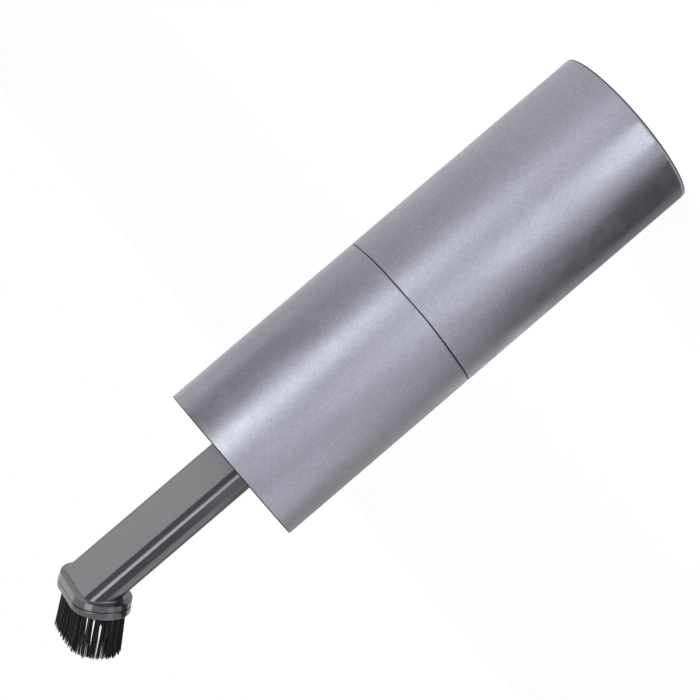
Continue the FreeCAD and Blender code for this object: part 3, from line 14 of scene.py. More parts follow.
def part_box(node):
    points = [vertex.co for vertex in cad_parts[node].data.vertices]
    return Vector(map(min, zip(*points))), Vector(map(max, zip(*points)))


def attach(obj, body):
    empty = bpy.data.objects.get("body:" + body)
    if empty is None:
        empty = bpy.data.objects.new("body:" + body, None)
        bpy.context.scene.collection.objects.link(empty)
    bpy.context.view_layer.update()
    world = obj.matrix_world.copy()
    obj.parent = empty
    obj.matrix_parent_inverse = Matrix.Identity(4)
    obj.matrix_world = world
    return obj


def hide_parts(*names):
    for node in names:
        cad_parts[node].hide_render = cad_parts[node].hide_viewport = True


bl_info = {
    "name": "Desk Vacuum Cleaner",
    "version": (1, 0, 0),
    "blender": (4, 5, 0),
    "location": "3D View > Sidebar > Desk Vacuum",
    "description": "Finishes, rounded edges, bristles and stage for a desk vacuum cleaner",
    "category": "Object",
}

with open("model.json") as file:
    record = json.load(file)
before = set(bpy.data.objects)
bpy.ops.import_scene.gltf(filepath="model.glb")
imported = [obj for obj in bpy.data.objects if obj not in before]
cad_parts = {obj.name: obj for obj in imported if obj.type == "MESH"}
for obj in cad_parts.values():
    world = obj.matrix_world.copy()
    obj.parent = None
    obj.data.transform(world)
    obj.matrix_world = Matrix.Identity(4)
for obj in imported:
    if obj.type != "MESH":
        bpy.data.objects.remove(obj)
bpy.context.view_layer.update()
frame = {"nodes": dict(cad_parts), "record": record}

# The camera stands where the photograph was taken from, level with the seam and turned on its side
CAMERA_PLACE = Vector((-0.6762, -0.4358, 0.1619))
CAMERA_AHEAD = Vector((0.8414, 0.5374, -0.0574))
CAMERA_RIGHT = Vector((-0.3864, 0.5238, -0.7592))
CAMERA_LENS = 127.9
# Compass direction from the object to the camera, in degrees about +Z from +X
TO_CAMERA = 212.8
CARD_DISTANCE = 1.4
CARD_STEPS = 24
WARM = (1.0, 0.95, 0.88)

# Sizes that the frame gives
BODY_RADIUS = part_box("front_sleeve")[1].x
BORE_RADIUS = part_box("dust_cup")[1].x + 0.00005
MOUTH_SLANT = math.radians(45.0)
MOUTH_AWAY = Vector((0.0, math.sin(MOUTH_SLANT), math.cos(MOUTH_SLANT)))
MOUTH_DOWN = Vector((0.0, math.cos(MOUTH_SLANT), -math.sin(MOUTH_SLANT)))
MOUTH_MIDDLE = Vector((0.0, 0.0, 0.2277))
# The dark lips stand back from the sleeves by a step, and the tail's reaches past its sleeve by a depth. The
# front lip is a dark ring that stands in for the shaded gap at the front rim: painted shade.
DARK_LIP_STEP = 0.00012
LINER_DEPTH = 0.00055
TAIL_DEPTH = 0.00028
# The mouth's bead and the brush ring, along the way that the mouth faces
BEAD_THICKNESS = 0.0016
RING_BACK = 0.0025
RING_FACE = 0.0047
MOUTH_ROUND = 0.00961
MOUTH_LEAN = 0.0006
GROOVE_DROP = 0.0005
BEAD_THICKER = 0.0003
RING_NEARER = 0.0003
RING_HIGHER = 0.0002
LAYER_TOLERANCE = 0.00002
# Everything further than these from the mouth's middle line is the outside of the bead or of the ring
BEAD_OUTSIDE = 0.0088
RING_OUTSIDE = 0.0092
# Where the first tuft stands, as a share of the way round the row
ROW_START = 0.25
DARK_LIP_EDGE = 0.0001


class SleeveSizes(bpy.types.PropertyGroup):
    """Sizes of the two aluminium sleeves."""
    tail_edge: FloatProperty(name="Tail edge", description="Rounded edge at the tail", default=0.0002,
                             unit="LENGTH")
    seam_edge: FloatProperty(name="Seam edge", description="Rounded edge in front of the seam",
                             default=0.00012, unit="LENGTH")
    seam_crown: FloatProperty(name="Seam crown", description="Wider rounded edge behind the seam",
                              default=0.0005, unit="LENGTH")
    seam_close: FloatProperty(name="Seam close", description="How far the rear tube closes the seam",
                              default=0.00018, unit="LENGTH")
    front_edge: FloatProperty(name="Front edge", description="Rounded edge at the front rim",
                              default=0.0006, unit="LENGTH")
    # Height of the front dark lip: a dark plastic ring in the place of the shaded gap at the front rim,
    # painted shade.
    liner: FloatProperty(name="Liner", description="Dark liner that shows past each outer rim",
                         default=0.00035, unit="LENGTH")
    inner_edge: FloatProperty(name="Inner edge", description="Rounded edges in the bore", default=0.0001,
                              unit="LENGTH")
    steps: IntProperty(name="Steps", description="Faces round a sleeve", default=256)


class BristleSizes(bpy.types.PropertyGroup):
    """Sizes of the tufts in the brush ring."""
    tufts: IntProperty(name="Tufts", description="Tufts round the mouth", default=31)
    strands: IntProperty(name="Strands", description="Bristles in one tuft", default=46)
    row_half: FloatProperty(name="Row half", description="Half the straight side of the row of tufts",
                            default=0.00679, unit="LENGTH")
    row_radius: FloatProperty(name="Row radius", description="Round ends of the row of tufts",
                              default=0.0073, unit="LENGTH")
    row_shift: FloatProperty(name="Row shift", description="Row of tufts off the axis, down the slope",
                             default=0.0015, unit="LENGTH")
    root: FloatProperty(name="Root", description="From the mouth plane to the bristles' roots",
                        default=0.0039, unit="LENGTH")
    length: FloatProperty(name="Length", description="One bristle with its root", default=0.0157,
                          unit="LENGTH")
    tuft_radius: FloatProperty(name="Tuft radius", description="One tuft at its root", default=0.00076,
                               unit="LENGTH")
    strand_radius: FloatProperty(name="Strand radius", description="One bristle", default=0.00012,
                                 unit="LENGTH")
    spread: FloatProperty(name="Spread", description="How far a tuft opens at its tip", default=0.00048,
                          unit="LENGTH")
    flare: FloatProperty(name="Flare", description="How far the tips stand outside the row",
                         default=0.0004, unit="LENGTH")
    sweep: FloatProperty(name="Sweep", description="How far use has bent all tips up the slope",
                         default=0.0004, unit="LENGTH")
    bend: FloatProperty(name="Bend", description="How far a tip strays", default=0.0010, unit="LENGTH")
    ragged: FloatProperty(name="Ragged", description="Share of its length that a bristle may lack",
                          default=0.045, subtype="FACTOR")
    seed: IntProperty(name="Seed", description="Order of the bristles", default=7)


class FinishColours(bpy.types.PropertyGroup):
    """Colours that a user may change."""
    aluminium: FloatVectorProperty(name="Aluminium", description="Anodised sleeves", subtype="COLOR",
                                   default=(0.318, 0.321, 0.374))
    nozzle: FloatVectorProperty(name="Nozzle", description="Glossy plastic of nozzle and brush ring",
                                subtype="COLOR", default=(0.034, 0.0332, 0.039))
    moulding: FloatVectorProperty(name="Moulding", description="Dark plastic", subtype="COLOR",
                                  default=(0.021, 0.021, 0.023))
    bristle: FloatVectorProperty(name="Bristle", description="Nylon bristles", subtype="COLOR",
                                 default=(0.0052, 0.0050, 0.0054))


class StageSettings(bpy.types.PropertyGroup):
    """Lamps, cards and floor. A brightness of 1 is that of the white backdrop."""
    ambient: FloatProperty(name="Ambient", description="Light from all sides on matt surfaces", default=0.55)
    key: FloatProperty(name="Key", description="Brightness of the large lamp above", default=2.4)
    band: FloatProperty(name="Band", description="Brightness of the tall upright lamp", default=2.6)
    side: FloatProperty(name="Side", description="Brightness of the lamp that faces the flat nozzle",
                        default=0.72)
    strip: FloatProperty(name="Strip", description="Brightness of the bright strip on the floor",
                         default=2.25)
    line: FloatProperty(name="Line", description="Brightness of the card behind the upright lamp",
                        default=2.0)
    warm: FloatProperty(name="Warm card", description="Brightness of the low warm card", default=0.62)
    corner: FloatProperty(name="Corner card", description="Brightness of the floor beside the tail",
                          default=0.36)
    shade: FloatProperty(name="Shade card", description="Brightness of the edge of the dark card",
                         default=0.45)
    grey: FloatProperty(name="Grey cards", description="Brightness of the grey cards", default=0.35)
    pale: FloatProperty(name="Pale card", description="Brightness of the pale card", default=0.55)
    bright: FloatProperty(name="Bright card", description="Brightness of the bright card", default=1.6)
    back: FloatProperty(name="Back", description="Brightness of the lamp behind the brush", default=0.5)
    dark: FloatProperty(name="Dark card", description="Brightness of the dark card on the floor",
                        default=0.06)
    floor: FloatVectorProperty(name="Floor", description="Pale floor", subtype="COLOR",
                               default=(0.9, 0.9, 0.9))


def put(tree, kind, settings=None, **inputs):
    """Add a node. Its inputs are given by name, with _ for a space, as values or as sockets to link."""
    made = tree.nodes.new(kind)
    for name, setting in (settings or {}).items():
        setattr(made, name, setting)
    for name, given in inputs.items():
        feed(tree, made.inputs[name.replace("_", " ")], given)
    return made


def feed(tree, socket, given):
    """Link a socket into another, or set its value."""
    if isinstance(given, bpy.types.NodeSocket):
        tree.links.new(given, socket)
    else:
        socket.default_value = given


def maths(tree, operation, *operands, clamp=False):
    """A Math node's result."""
    made = tree.nodes.new("ShaderNodeMath")
    made.operation = operation
    made.use_clamp = clamp
    for socket, given in zip(made.inputs, operands):
        feed(tree, socket, given)
    return made.outputs[0]


def vectors(tree, operation, *operands, scale=None):
    """A Vector Math node's result."""
    made = tree.nodes.new("ShaderNodeVectorMath")
    made.operation = operation
    for socket, given in zip(made.inputs, operands):
        feed(tree, socket, given)
    if scale is not None:
        feed(tree, made.inputs["Scale"], scale)
    return made.outputs["Value" if operation in ("LENGTH", "DOT_PRODUCT") else "Vector"]


def spread_out(tree, value, low, high, to_low=0.0, to_high=1.0):
    """A value taken smoothly from one range to another."""
    made = put(tree, "ShaderNodeMapRange", {"interpolation_type": "SMOOTHSTEP"}, Value=value,
               From_Min=low, From_Max=high, To_Min=to_low, To_Max=to_high)
    return made.outputs["Result"]


def new_group(name, kind, inputs, outputs):
    """An empty node group with named sockets, its input node and its output node."""
    tree = bpy.data.node_groups.new(name, kind)
    for label, socket_type, default in inputs:
        socket = tree.interface.new_socket(label, in_out="INPUT", socket_type=socket_type)
        if default is not None:
            socket.default_value = default
    for label, socket_type in outputs:
        tree.interface.new_socket(label, in_out="OUTPUT", socket_type=socket_type)
    return tree, tree.nodes.new("NodeGroupInput"), tree.nodes.new("NodeGroupOutput")


def noise(tree, where, scale, detail=2.0, roughness=0.5):
    """A Noise Texture's value at a place."""
    made = put(tree, "ShaderNodeTexNoise", Vector=where, Scale=scale, Detail=detail, Roughness=roughness)
    return made.outputs["Fac"]


def grain_group():
    """Fine even grain of a blasted or moulded surface."""
    tree, start, end = new_group("fine_grain", "ShaderNodeTree", [
        ("Coordinates", "NodeSocketVector", None),
        ("Grains per metre", "NodeSocketFloat", 4000.0),
        ("Clouds", "NodeSocketFloat", 0.25),
    ], [("Tone", "NodeSocketFloat"), ("Height", "NodeSocketFloat")])
    place = start.outputs["Coordinates"]
    fine = noise(tree, place, start.outputs["Grains per metre"], 1.5, 0.6)
    coarse = noise(tree, place, maths(tree, "MULTIPLY", start.outputs["Grains per metre"], 0.21), 2.0, 0.5)
    share = start.outputs["Clouds"]
    tone = maths(tree, "ADD", maths(tree, "MULTIPLY", fine, maths(tree, "SUBTRACT", 1.0, share)),
                 maths(tree, "MULTIPLY", coarse, share))
    feed(tree, end.inputs["Tone"], spread_out(tree, tone, 0.28, 0.72))
    feed(tree, end.inputs["Height"], fine)
    return tree


def wear_and_highlight_group():
    """Where handling has worn the outer edges brighter, with a painted highlight along them."""
    tree, start, end = new_group("edge_wear_and_highlight", "ShaderNodeTree", [
        ("Coordinates", "NodeSocketVector", None),
        ("Patches per metre", "NodeSocketFloat", 220.0),
        ("Amount", "NodeSocketFloat", 0.5),
    ], [("Mask", "NodeSocketFloat")])
    edge = put(tree, "ShaderNodeNewGeometry").outputs["Pointiness"]
    patches = noise(tree, start.outputs["Coordinates"], start.outputs["Patches per metre"], 4.0, 0.65)
    outer = spread_out(tree, edge, 0.515, 0.60)
    broken = spread_out(tree, patches, 0.38, 0.62, 0.25, 1.0)
    mask = maths(tree, "MULTIPLY", outer, broken)
    feed(tree, end.inputs["Mask"], maths(tree, "MULTIPLY", mask, start.outputs["Amount"], clamp=True))
    return tree


def marks_group():
    """Faint finger marks and uneven sheen."""
    tree, start, end = new_group("handling_marks", "ShaderNodeTree", [
        ("Coordinates", "NodeSocketVector", None),
        ("Marks per metre", "NodeSocketFloat", 38.0),
    ], [("Mask", "NodeSocketFloat")])
    place = start.outputs["Coordinates"]
    wide = noise(tree, place, start.outputs["Marks per metre"], 3.0, 0.6)
    close = noise(tree, place, maths(tree, "MULTIPLY", start.outputs["Marks per metre"], 5.3), 3.0, 0.7)
    mixed = maths(tree, "ADD", maths(tree, "MULTIPLY", wide, 0.7), maths(tree, "MULTIPLY", close, 0.3))
    feed(tree, end.inputs["Mask"], spread_out(tree, mixed, 0.36, 0.66))
    return tree


def dust_group():
    """Dust that has settled on faces that look up or down the object's length."""
    tree, start, end = new_group("settled_dust", "ShaderNodeTree", [
        ("Coordinates", "NodeSocketVector", None),
        ("Amount", "NodeSocketFloat", 0.1),
    ], [("Mask", "NodeSocketFloat")])
    normal = put(tree, "ShaderNodeNewGeometry").outputs["Normal"]
    flat = maths(tree, "ABSOLUTE", put(tree, "ShaderNodeSeparateXYZ", Vector=normal).outputs["Z"])
    specks = noise(tree, start.outputs["Coordinates"], 1900.0, 5.0, 0.75)
    mask = maths(tree, "MULTIPLY", spread_out(tree, flat, 0.45, 0.95), spread_out(tree, specks, 0.46, 0.74))
    feed(tree, end.inputs["Mask"], maths(tree, "MULTIPLY", mask, start.outputs["Amount"], clamp=True))
    return tree


EFFECTS = {}


def effect(tree, name, **inputs):
    """A shared node group placed in a material."""
    made = put(tree, "ShaderNodeGroup", {"node_tree": EFFECTS[name]}, **inputs)
    return made.outputs


def grain_pattern(tree, place, size):
    """Even grain, as tone and height."""
    made = effect(tree, "fine_grain", Coordinates=place, Grains_per_metre=1.0 / size)
    return made["Tone"], made["Height"]


def turned_pattern(tree, place, size):
    """Fine rings left by a lathe, about the Z axis."""
    stretched = vectors(tree, "MULTIPLY", place, (0.04, 0.04, 1.0))
    rings = noise(tree, stretched, 1.0 / size, 3.0, 0.7)
    return rings, rings


def cell_pattern(tree, place, size):
    """Open cells of a foam."""
    made = put(tree, "ShaderNodeTexVoronoi", Vector=place, Scale=1.0 / size)
    wall = spread_out(tree, made.outputs["Distance"], 0.12, 0.62)
    return wall, wall


def fibre_pattern(tree, place, size):
    """Matted fibres of a filter sheet."""
    along = noise(tree, vectors(tree, "MULTIPLY", place, (1.0, 0.12, 1.0)), 1.0 / size, 3.0, 0.7)
    across = noise(tree, vectors(tree, "MULTIPLY", place, (0.15, 1.0, 0.3)), 1.0 / size, 3.0, 0.7)
    both = maths(tree, "MAXIMUM", along, across)
    return spread_out(tree, both, 0.4, 0.75), both


def trace_pattern(tree, place, size):
    """Copper tracks under the lacquer of a circuit board."""
    made = put(tree, "ShaderNodeTexBrick", {"offset": 0.37, "squash": 0.6, "squash_frequency": 3},
               Vector=place, Scale=1.0 / size, Mortar_Size=0.035, Mortar_Smooth=0.1, Brick_Width=1.7,
               Row_Height=0.42)
    track = maths(tree, "SUBTRACT", 1.0, made.outputs["Fac"])
    return track, track


def painted_sheen_streaks(tree, place, size):
    """Painted sheen: lighter streaks of colour that run along the bristles, wider than one bristle."""
    turned = put(tree, "ShaderNodeMapping", {"vector_type": "POINT"}, Vector=place,
                 Rotation=(MOUTH_SLANT, 0.0, 0.0), Scale=(1.0, 1.0, 0.07))
    streaks = noise(tree, turned.outputs["Vector"], 1.0 / size, 2.0, 0.6)
    return spread_out(tree, streaks, 0.42, 0.66), streaks


# Base colour, metallic, roughness, pattern, its size, tone swing, bump height, edge wear with its painted
# highlight, dust
FINISHES = {
    "anodised_aluminium": ("aluminium", 1.0, 0.365, grain_pattern, 0.00026, 0.17, 0.0000045, 0.55, 0.0),
    "grey_plastic": ("nozzle", 0.0, 0.085, grain_pattern, 0.00035, 0.06, 0.0000008, 0.25, 0.05),
    "dark_plastic": ("moulding", 0.0, 0.42, grain_pattern, 0.00022, 0.12, 0.000008, 0.3, 0.15),
    "button_plastic": ((0.035, 0.035, 0.039), 0.0, 0.36, grain_pattern, 0.0002, 0.1, 0.000006, 0.35, 0.08),
    "white_nylon": ((0.72, 0.71, 0.67), 0.0, 0.45, grain_pattern, 0.0004, 0.05, 0.000005, 0.1, 0.1),
    "light_guide": ((0.78, 0.8, 0.82), 0.0, 0.32, grain_pattern, 0.0003, 0.03, 0.000002, 0.1, 0.05),
    "black_rubber": ((0.014, 0.014, 0.015), 0.0, 0.68, grain_pattern, 0.00018, 0.2, 0.00001, 0.2, 0.25),
    "silicone": ((0.16, 0.17, 0.18), 0.0, 0.5, grain_pattern, 0.0003, 0.06, 0.000004, 0.1, 0.2),
    "foam": ((0.03, 0.03, 0.033), 0.0, 0.9, cell_pattern, 0.0007, 0.7, 0.00022, 0.0, 0.2),
    "circuit_board": ((0.012, 0.09, 0.045), 0.0, 0.3, trace_pattern, 0.0022, 0.5, 0.00002, 0.1, 0.1),
    "switch_plastic": ((0.02, 0.02, 0.02), 0.0, 0.4, grain_pattern, 0.0002, 0.1, 0.000004, 0.2, 0.1),
    "bright_steel": ((0.58, 0.58, 0.6), 1.0, 0.24, turned_pattern, 0.00012, 0.15, 0.000003, 0.3, 0.05),
    "motor_steel": ((0.47, 0.47, 0.48), 1.0, 0.34, turned_pattern, 0.00015, 0.18, 0.000004, 0.3, 0.1),
    "nickel": ((0.62, 0.58, 0.52), 1.0, 0.28, grain_pattern, 0.0003, 0.1, 0.000003, 0.3, 0.05),
    "cell_wrap": ((0.03, 0.13, 0.36), 0.0, 0.28, grain_pattern, 0.0008, 0.08, 0.000004, 0.1, 0.1),
    "filter_paper": ((0.74, 0.74, 0.7), 0.0, 0.85, fibre_pattern, 0.00035, 0.16, 0.00003, 0.0, 0.3),
    # The bristles' tone swing paints sheen streaks along them.
    "bristle": ("bristle", 0.0, 0.42, painted_sheen_streaks, 0.0016, 0.75, 0.000004, 0.0, 0.0),
}
DUST_COLOUR = (0.34, 0.32, 0.29)


def make_finish(name, colours):
    """One finish: its colour and sheen vary with grain, handling marks, edge wear with a painted edge
    highlight, and dust.
    """
    colour, metallic, roughness, pattern, size, swing, height, wear, dust = FINISHES[name]
    if isinstance(colour, str):
        colour = tuple(getattr(colours, colour))
    material = bpy.data.materials.new(name)
    material.use_nodes = True
    material.diffuse_color = (*colour, 1.0)
    tree = material.node_tree
    shader = tree.nodes["Principled BSDF"]
    place = put(tree, "ShaderNodeTexCoord").outputs["Object"]
    tone, relief = pattern(tree, place, size)
    dark = tuple(part * (1.0 - swing) for part in colour)
    light = tuple(min(part * (1.0 + swing), 1.0) for part in colour)
    base = blend_colours(tree, tone, dark, light)
    marks = effect(tree, "handling_marks", Coordinates=place)["Mask"]
    sheen = spread_out(tree, marks, 0.0, 1.0, roughness * 0.9, min(roughness * 1.14, 1.0))
    # Outer edges turn lighter and glossier: partly wear, partly a painted highlight along the rims.
    if wear:
        wear_and_highlight_mask = effect(tree, "edge_wear_and_highlight", Coordinates=place, Amount=wear)["Mask"]
        bright = tuple(min(part * 1.5 + 0.03, 1.0) for part in colour)
        base = blend_colours(tree, wear_and_highlight_mask, base, bright)
        sheen = maths(tree, "MULTIPLY", sheen, spread_out(tree, wear_and_highlight_mask, 0.0, 1.0, 1.0, 0.75))
    if dust:
        settled = effect(tree, "settled_dust", Coordinates=place, Amount=dust)["Mask"]
        base = blend_colours(tree, settled, base, DUST_COLOUR)
        sheen = maths(tree, "ADD", sheen, maths(tree, "MULTIPLY", settled, 0.3), clamp=True)
    tree.links.new(base, shader.inputs["Base Color"])
    tree.links.new(sheen, shader.inputs["Roughness"])
    shader.inputs["Metallic"].default_value = metallic
    bump = put(tree, "ShaderNodeBump", Strength=1.0, Distance=height, Height=relief)
    tree.links.new(bump.outputs["Normal"], shader.inputs["Normal"])
    return material


def blend_colours(tree, mask, first, second):
    """Two colours mixed by a mask."""
    made = tree.nodes.new("ShaderNodeMix")
    made.data_type = "RGBA"
    feed(tree, made.inputs[0], mask)
    for socket, given in ((made.inputs[6], first), (made.inputs[7], second)):
        feed(tree, socket, given if isinstance(given, bpy.types.NodeSocket) else (*given, 1.0))
    return made.outputs[2]


def finish_of(name):
    """The material of one finish, made once."""
    if not EFFECTS:
        EFFECTS["fine_grain"] = grain_group()
        EFFECTS["edge_wear_and_highlight"] = wear_and_highlight_group()
        EFFECTS["handling_marks"] = marks_group()
        EFFECTS["settled_dust"] = dust_group()
    made = bpy.data.materials.get("finish_" + name)
    if made is None:
        made = make_finish(name, bpy.context.scene.vacuum_colours)
        made.name = "finish_" + name
        shader = made.node_tree.nodes["Principled BSDF"]
        if name == "light_guide":
            shader.inputs["Subsurface Weight"].default_value = 0.35
            shader.inputs["Subsurface Scale"].default_value = 0.002
        if name == "grey_plastic":
            shader.inputs["IOR"].default_value = 1.8
            shader.inputs["Specular Tint"].default_value = (0.965, 0.943, 1.0, 1.0)
        if name == "bristle":
            shader.inputs["Specular IOR Level"].default_value = 0.3
    return made


def slot_of(node):
    """The record's material slot of a CAD node."""
    return next(part["material_slot"] for part in frame["record"]["subparts"] if part["node"] == node)


def body_of(node):
    """The body that a CAD node rides on."""
    bodies = frame["record"]["behaviour"]["bodies"]
    return next(name for name, members in bodies.items() if node in members)


def settle(piece, node, *others):
    """Let a finished piece stand for CAD nodes of one body, with their finish."""
    slot = slot_of(node)
    piece.data.materials.clear()
    piece.data.materials.append(finish_of(slot))
    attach(piece, body_of(node))
    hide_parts(node, *others)
    return piece


def keep_node(node):
    """Leave a CAD node as it is and give it its finish."""
    item = frame["nodes"][node]
    material = finish_of(slot_of(node))
    if not item.material_slots:
        item.data.materials.append(material)
    for place in item.material_slots:
        place.material = material


def new_piece(name, mesh):
    """An object of the scene that carries a finished mesh."""
    piece = bpy.data.objects.new(name, mesh)
    bpy.context.scene.collection.objects.link(piece)
    return piece


def plain_mesh(piece):
    """Turn the piece's modifiers into its mesh."""
    graph = bpy.context.evaluated_depsgraph_get()
    mesh = bpy.data.meshes.new_from_object(piece.evaluated_get(graph), depsgraph=graph)
    mesh.name = piece.name
    piece.modifiers.clear()
    piece.data = mesh
    return mesh


def sharp_edges(shape, least):
    """Edges where two faces meet at more than an angle, in degrees."""
    limit = math.radians(least)
    return [edge for edge in shape.edges
            if len(edge.link_faces) == 2 and edge.is_manifold and edge.calc_face_angle(0.0) > limit]


def rounded_copy(node, width, steps=2, chosen=None, least=35.0, shaped=None):
    """A CAD node's shape with merged faces, and its sharp edges rounded by a width."""
    source = frame["nodes"][node].data
    shape = bmesh.new()
    shape.from_mesh(source)
    bmesh.ops.remove_doubles(shape, verts=shape.verts, dist=0.0000005)
    bmesh.ops.dissolve_limit(shape, angle_limit=math.radians(0.3), verts=shape.verts, edges=shape.edges,
                             use_dissolve_boundaries=False)
    if shaped:
        shaped(shape)
    edges = [edge for edge in sharp_edges(shape, least) if chosen is None or chosen(edge)]
    if edges and width:
        bmesh.ops.bevel(shape, geom=edges, offset=width, offset_type="OFFSET", segments=steps, profile=0.5,
                        affect="EDGES", clamp_overlap=True, loop_slide=True)
    for face in shape.faces:
        face.smooth = True
    mesh = bpy.data.meshes.new(node + "_shape")
    shape.to_mesh(mesh)
    shape.free()
    mesh.set_sharp_from_angle(angle=math.radians(32.0))
    return mesh


def shade_evenly(piece):
    """Keep large flat faces flat in the light, and let only the rounded edges turn."""
    even = piece.modifiers.new("even_shading", "WEIGHTED_NORMAL")
    even.keep_sharp = True
    even.weight = 50
    plain_mesh(piece)


def finished(node, name, width, steps=2, chosen=None, least=35.0, shaped=None):
    """Replace a CAD node by the same shape with rounded edges."""
    piece = new_piece(name, rounded_copy(node, width, steps, chosen, least, shaped))
    shade_evenly(piece)
    return settle(piece, node)


def choose(tree, switch, otherwise, chosen):
    """One of two numbers: the second where the switch is one."""
    extra = maths(tree, "MULTIPLY", switch, maths(tree, "SUBTRACT", chosen, otherwise))
    return maths(tree, "ADD", otherwise, extra)


def sleeve_tree():
    """A tube about the Z axis with rounded edges, swept round a circle."""
    tree, start, end = new_group("turned_sleeve", "GeometryNodeTree", [
        ("Radius", "NodeSocketFloat", None),
        ("Wall", "NodeSocketFloat", None),
        ("Low", "NodeSocketFloat", None),
        ("High", "NodeSocketFloat", None),
        ("Inner edge", "NodeSocketFloat", None),
        ("Low edge", "NodeSocketFloat", None),
        ("High edge", "NodeSocketFloat", None),
        ("Steps", "NodeSocketInt", None),
        ("Finish", "NodeSocketMaterial", None),
    ], [("Geometry", "NodeSocketGeometry")])
    given = start.outputs
    middle = maths(tree, "SUBTRACT", given["Radius"], maths(tree, "MULTIPLY", given["Wall"], 0.5))
    ring = put(tree, "GeometryNodeCurvePrimitiveCircle", Resolution=given["Steps"], Radius=middle)
    upright = put(tree, "GeometryNodeSetCurveNormal", {"mode": "Z_UP"}, Curve=ring.outputs["Curve"])
    length = maths(tree, "SUBTRACT", given["High"], given["Low"])
    section = put(tree, "GeometryNodeCurvePrimitiveQuadrilateral", Width=given["Wall"], Height=length)
    corner = put(tree, "ShaderNodeSeparateXYZ", Vector=put(tree, "GeometryNodeInputPosition").outputs[0])
    low_end = maths(tree, "LESS_THAN", corner.outputs["Y"], 0.0)
    outside = maths(tree, "GREATER_THAN", corner.outputs["X"], 0.0)
    outer = choose(tree, low_end, given["High edge"], given["Low edge"])
    rounding = put(tree, "GeometryNodeFilletCurve", {"mode": "POLY"}, Curve=section.outputs["Curve"], Count=6,
                   Radius=choose(tree, outside, given["Inner edge"], outer))
    swept = put(tree, "GeometryNodeCurveToMesh", Curve=upright.outputs["Curve"],
                Profile_Curve=rounding.outputs["Curve"])
    height = maths(tree, "ADD", given["Low"], maths(tree, "MULTIPLY", length, 0.5))
    lift = put(tree, "ShaderNodeCombineXYZ", Z=height)
    placed = put(tree, "GeometryNodeTransform", Geometry=swept.outputs["Mesh"],
                 Translation=lift.outputs["Vector"])
    whole = put(tree, "GeometryNodeRealizeInstances", Geometry=placed.outputs["Geometry"])
    dressed = put(tree, "GeometryNodeSetMaterial", Geometry=whole.outputs["Geometry"],
                  Material=given["Finish"])
    tree.links.new(dressed.outputs["Geometry"], end.inputs["Geometry"])
    return tree


def bristle_tree():
    """Tufts of bristles round a stadium-shaped row, laid square to the mouth."""
    tree, start, end = new_group("tufted_bristles", "GeometryNodeTree", [
        ("Tufts", "NodeSocketInt", None),
        ("Strands", "NodeSocketInt", None),
        ("Row half", "NodeSocketFloat", None),
        ("Row radius", "NodeSocketFloat", None),
        ("Row shift", "NodeSocketFloat", None),
        ("Root", "NodeSocketFloat", None),
        ("Length", "NodeSocketFloat", None),
        ("Tuft radius", "NodeSocketFloat", None),
        ("Strand radius", "NodeSocketFloat", None),
        ("Spread", "NodeSocketFloat", None),
        ("Flare", "NodeSocketFloat", None),
        ("Sweep", "NodeSocketFloat", None),
        ("Bend", "NodeSocketFloat", None),
        ("Ragged", "NodeSocketFloat", None),
        ("Seed", "NodeSocketInt", None),
        ("Mouth", "NodeSocketVector", None),
        ("Turn", "NodeSocketFloat", None),
        ("Finish", "NodeSocketMaterial", None),
    ], [("Geometry", "NodeSocketGeometry")])
    given = start.outputs
    width = maths(tree, "MULTIPLY", maths(tree, "ADD", given["Row half"], given["Row radius"]), 2.0)
    depth = maths(tree, "MULTIPLY", given["Row radius"], 2.0)
    outline = put(tree, "GeometryNodeCurvePrimitiveQuadrilateral", Width=width, Height=depth)
    row = put(tree, "GeometryNodeFilletCurve", {"mode": "POLY"}, Curve=outline.outputs["Curve"], Count=24,
              Radius=maths(tree, "MULTIPLY", given["Row radius"], 0.9999))
    return tree, given, end, row.outputs["Curve"]


def random_between(tree, low, high, seed, number):
    """A random number for each point."""
    made = put(tree, "FunctionNodeRandomValue", {"data_type": "FLOAT"})
    feed(tree, made.inputs[2], low)
    feed(tree, made.inputs[3], high)
    feed(tree, made.inputs["ID"], put(tree, "GeometryNodeInputIndex").outputs[0])
    feed(tree, made.inputs["Seed"], maths(tree, "ADD", seed, float(number)))
    return made.outputs[1]


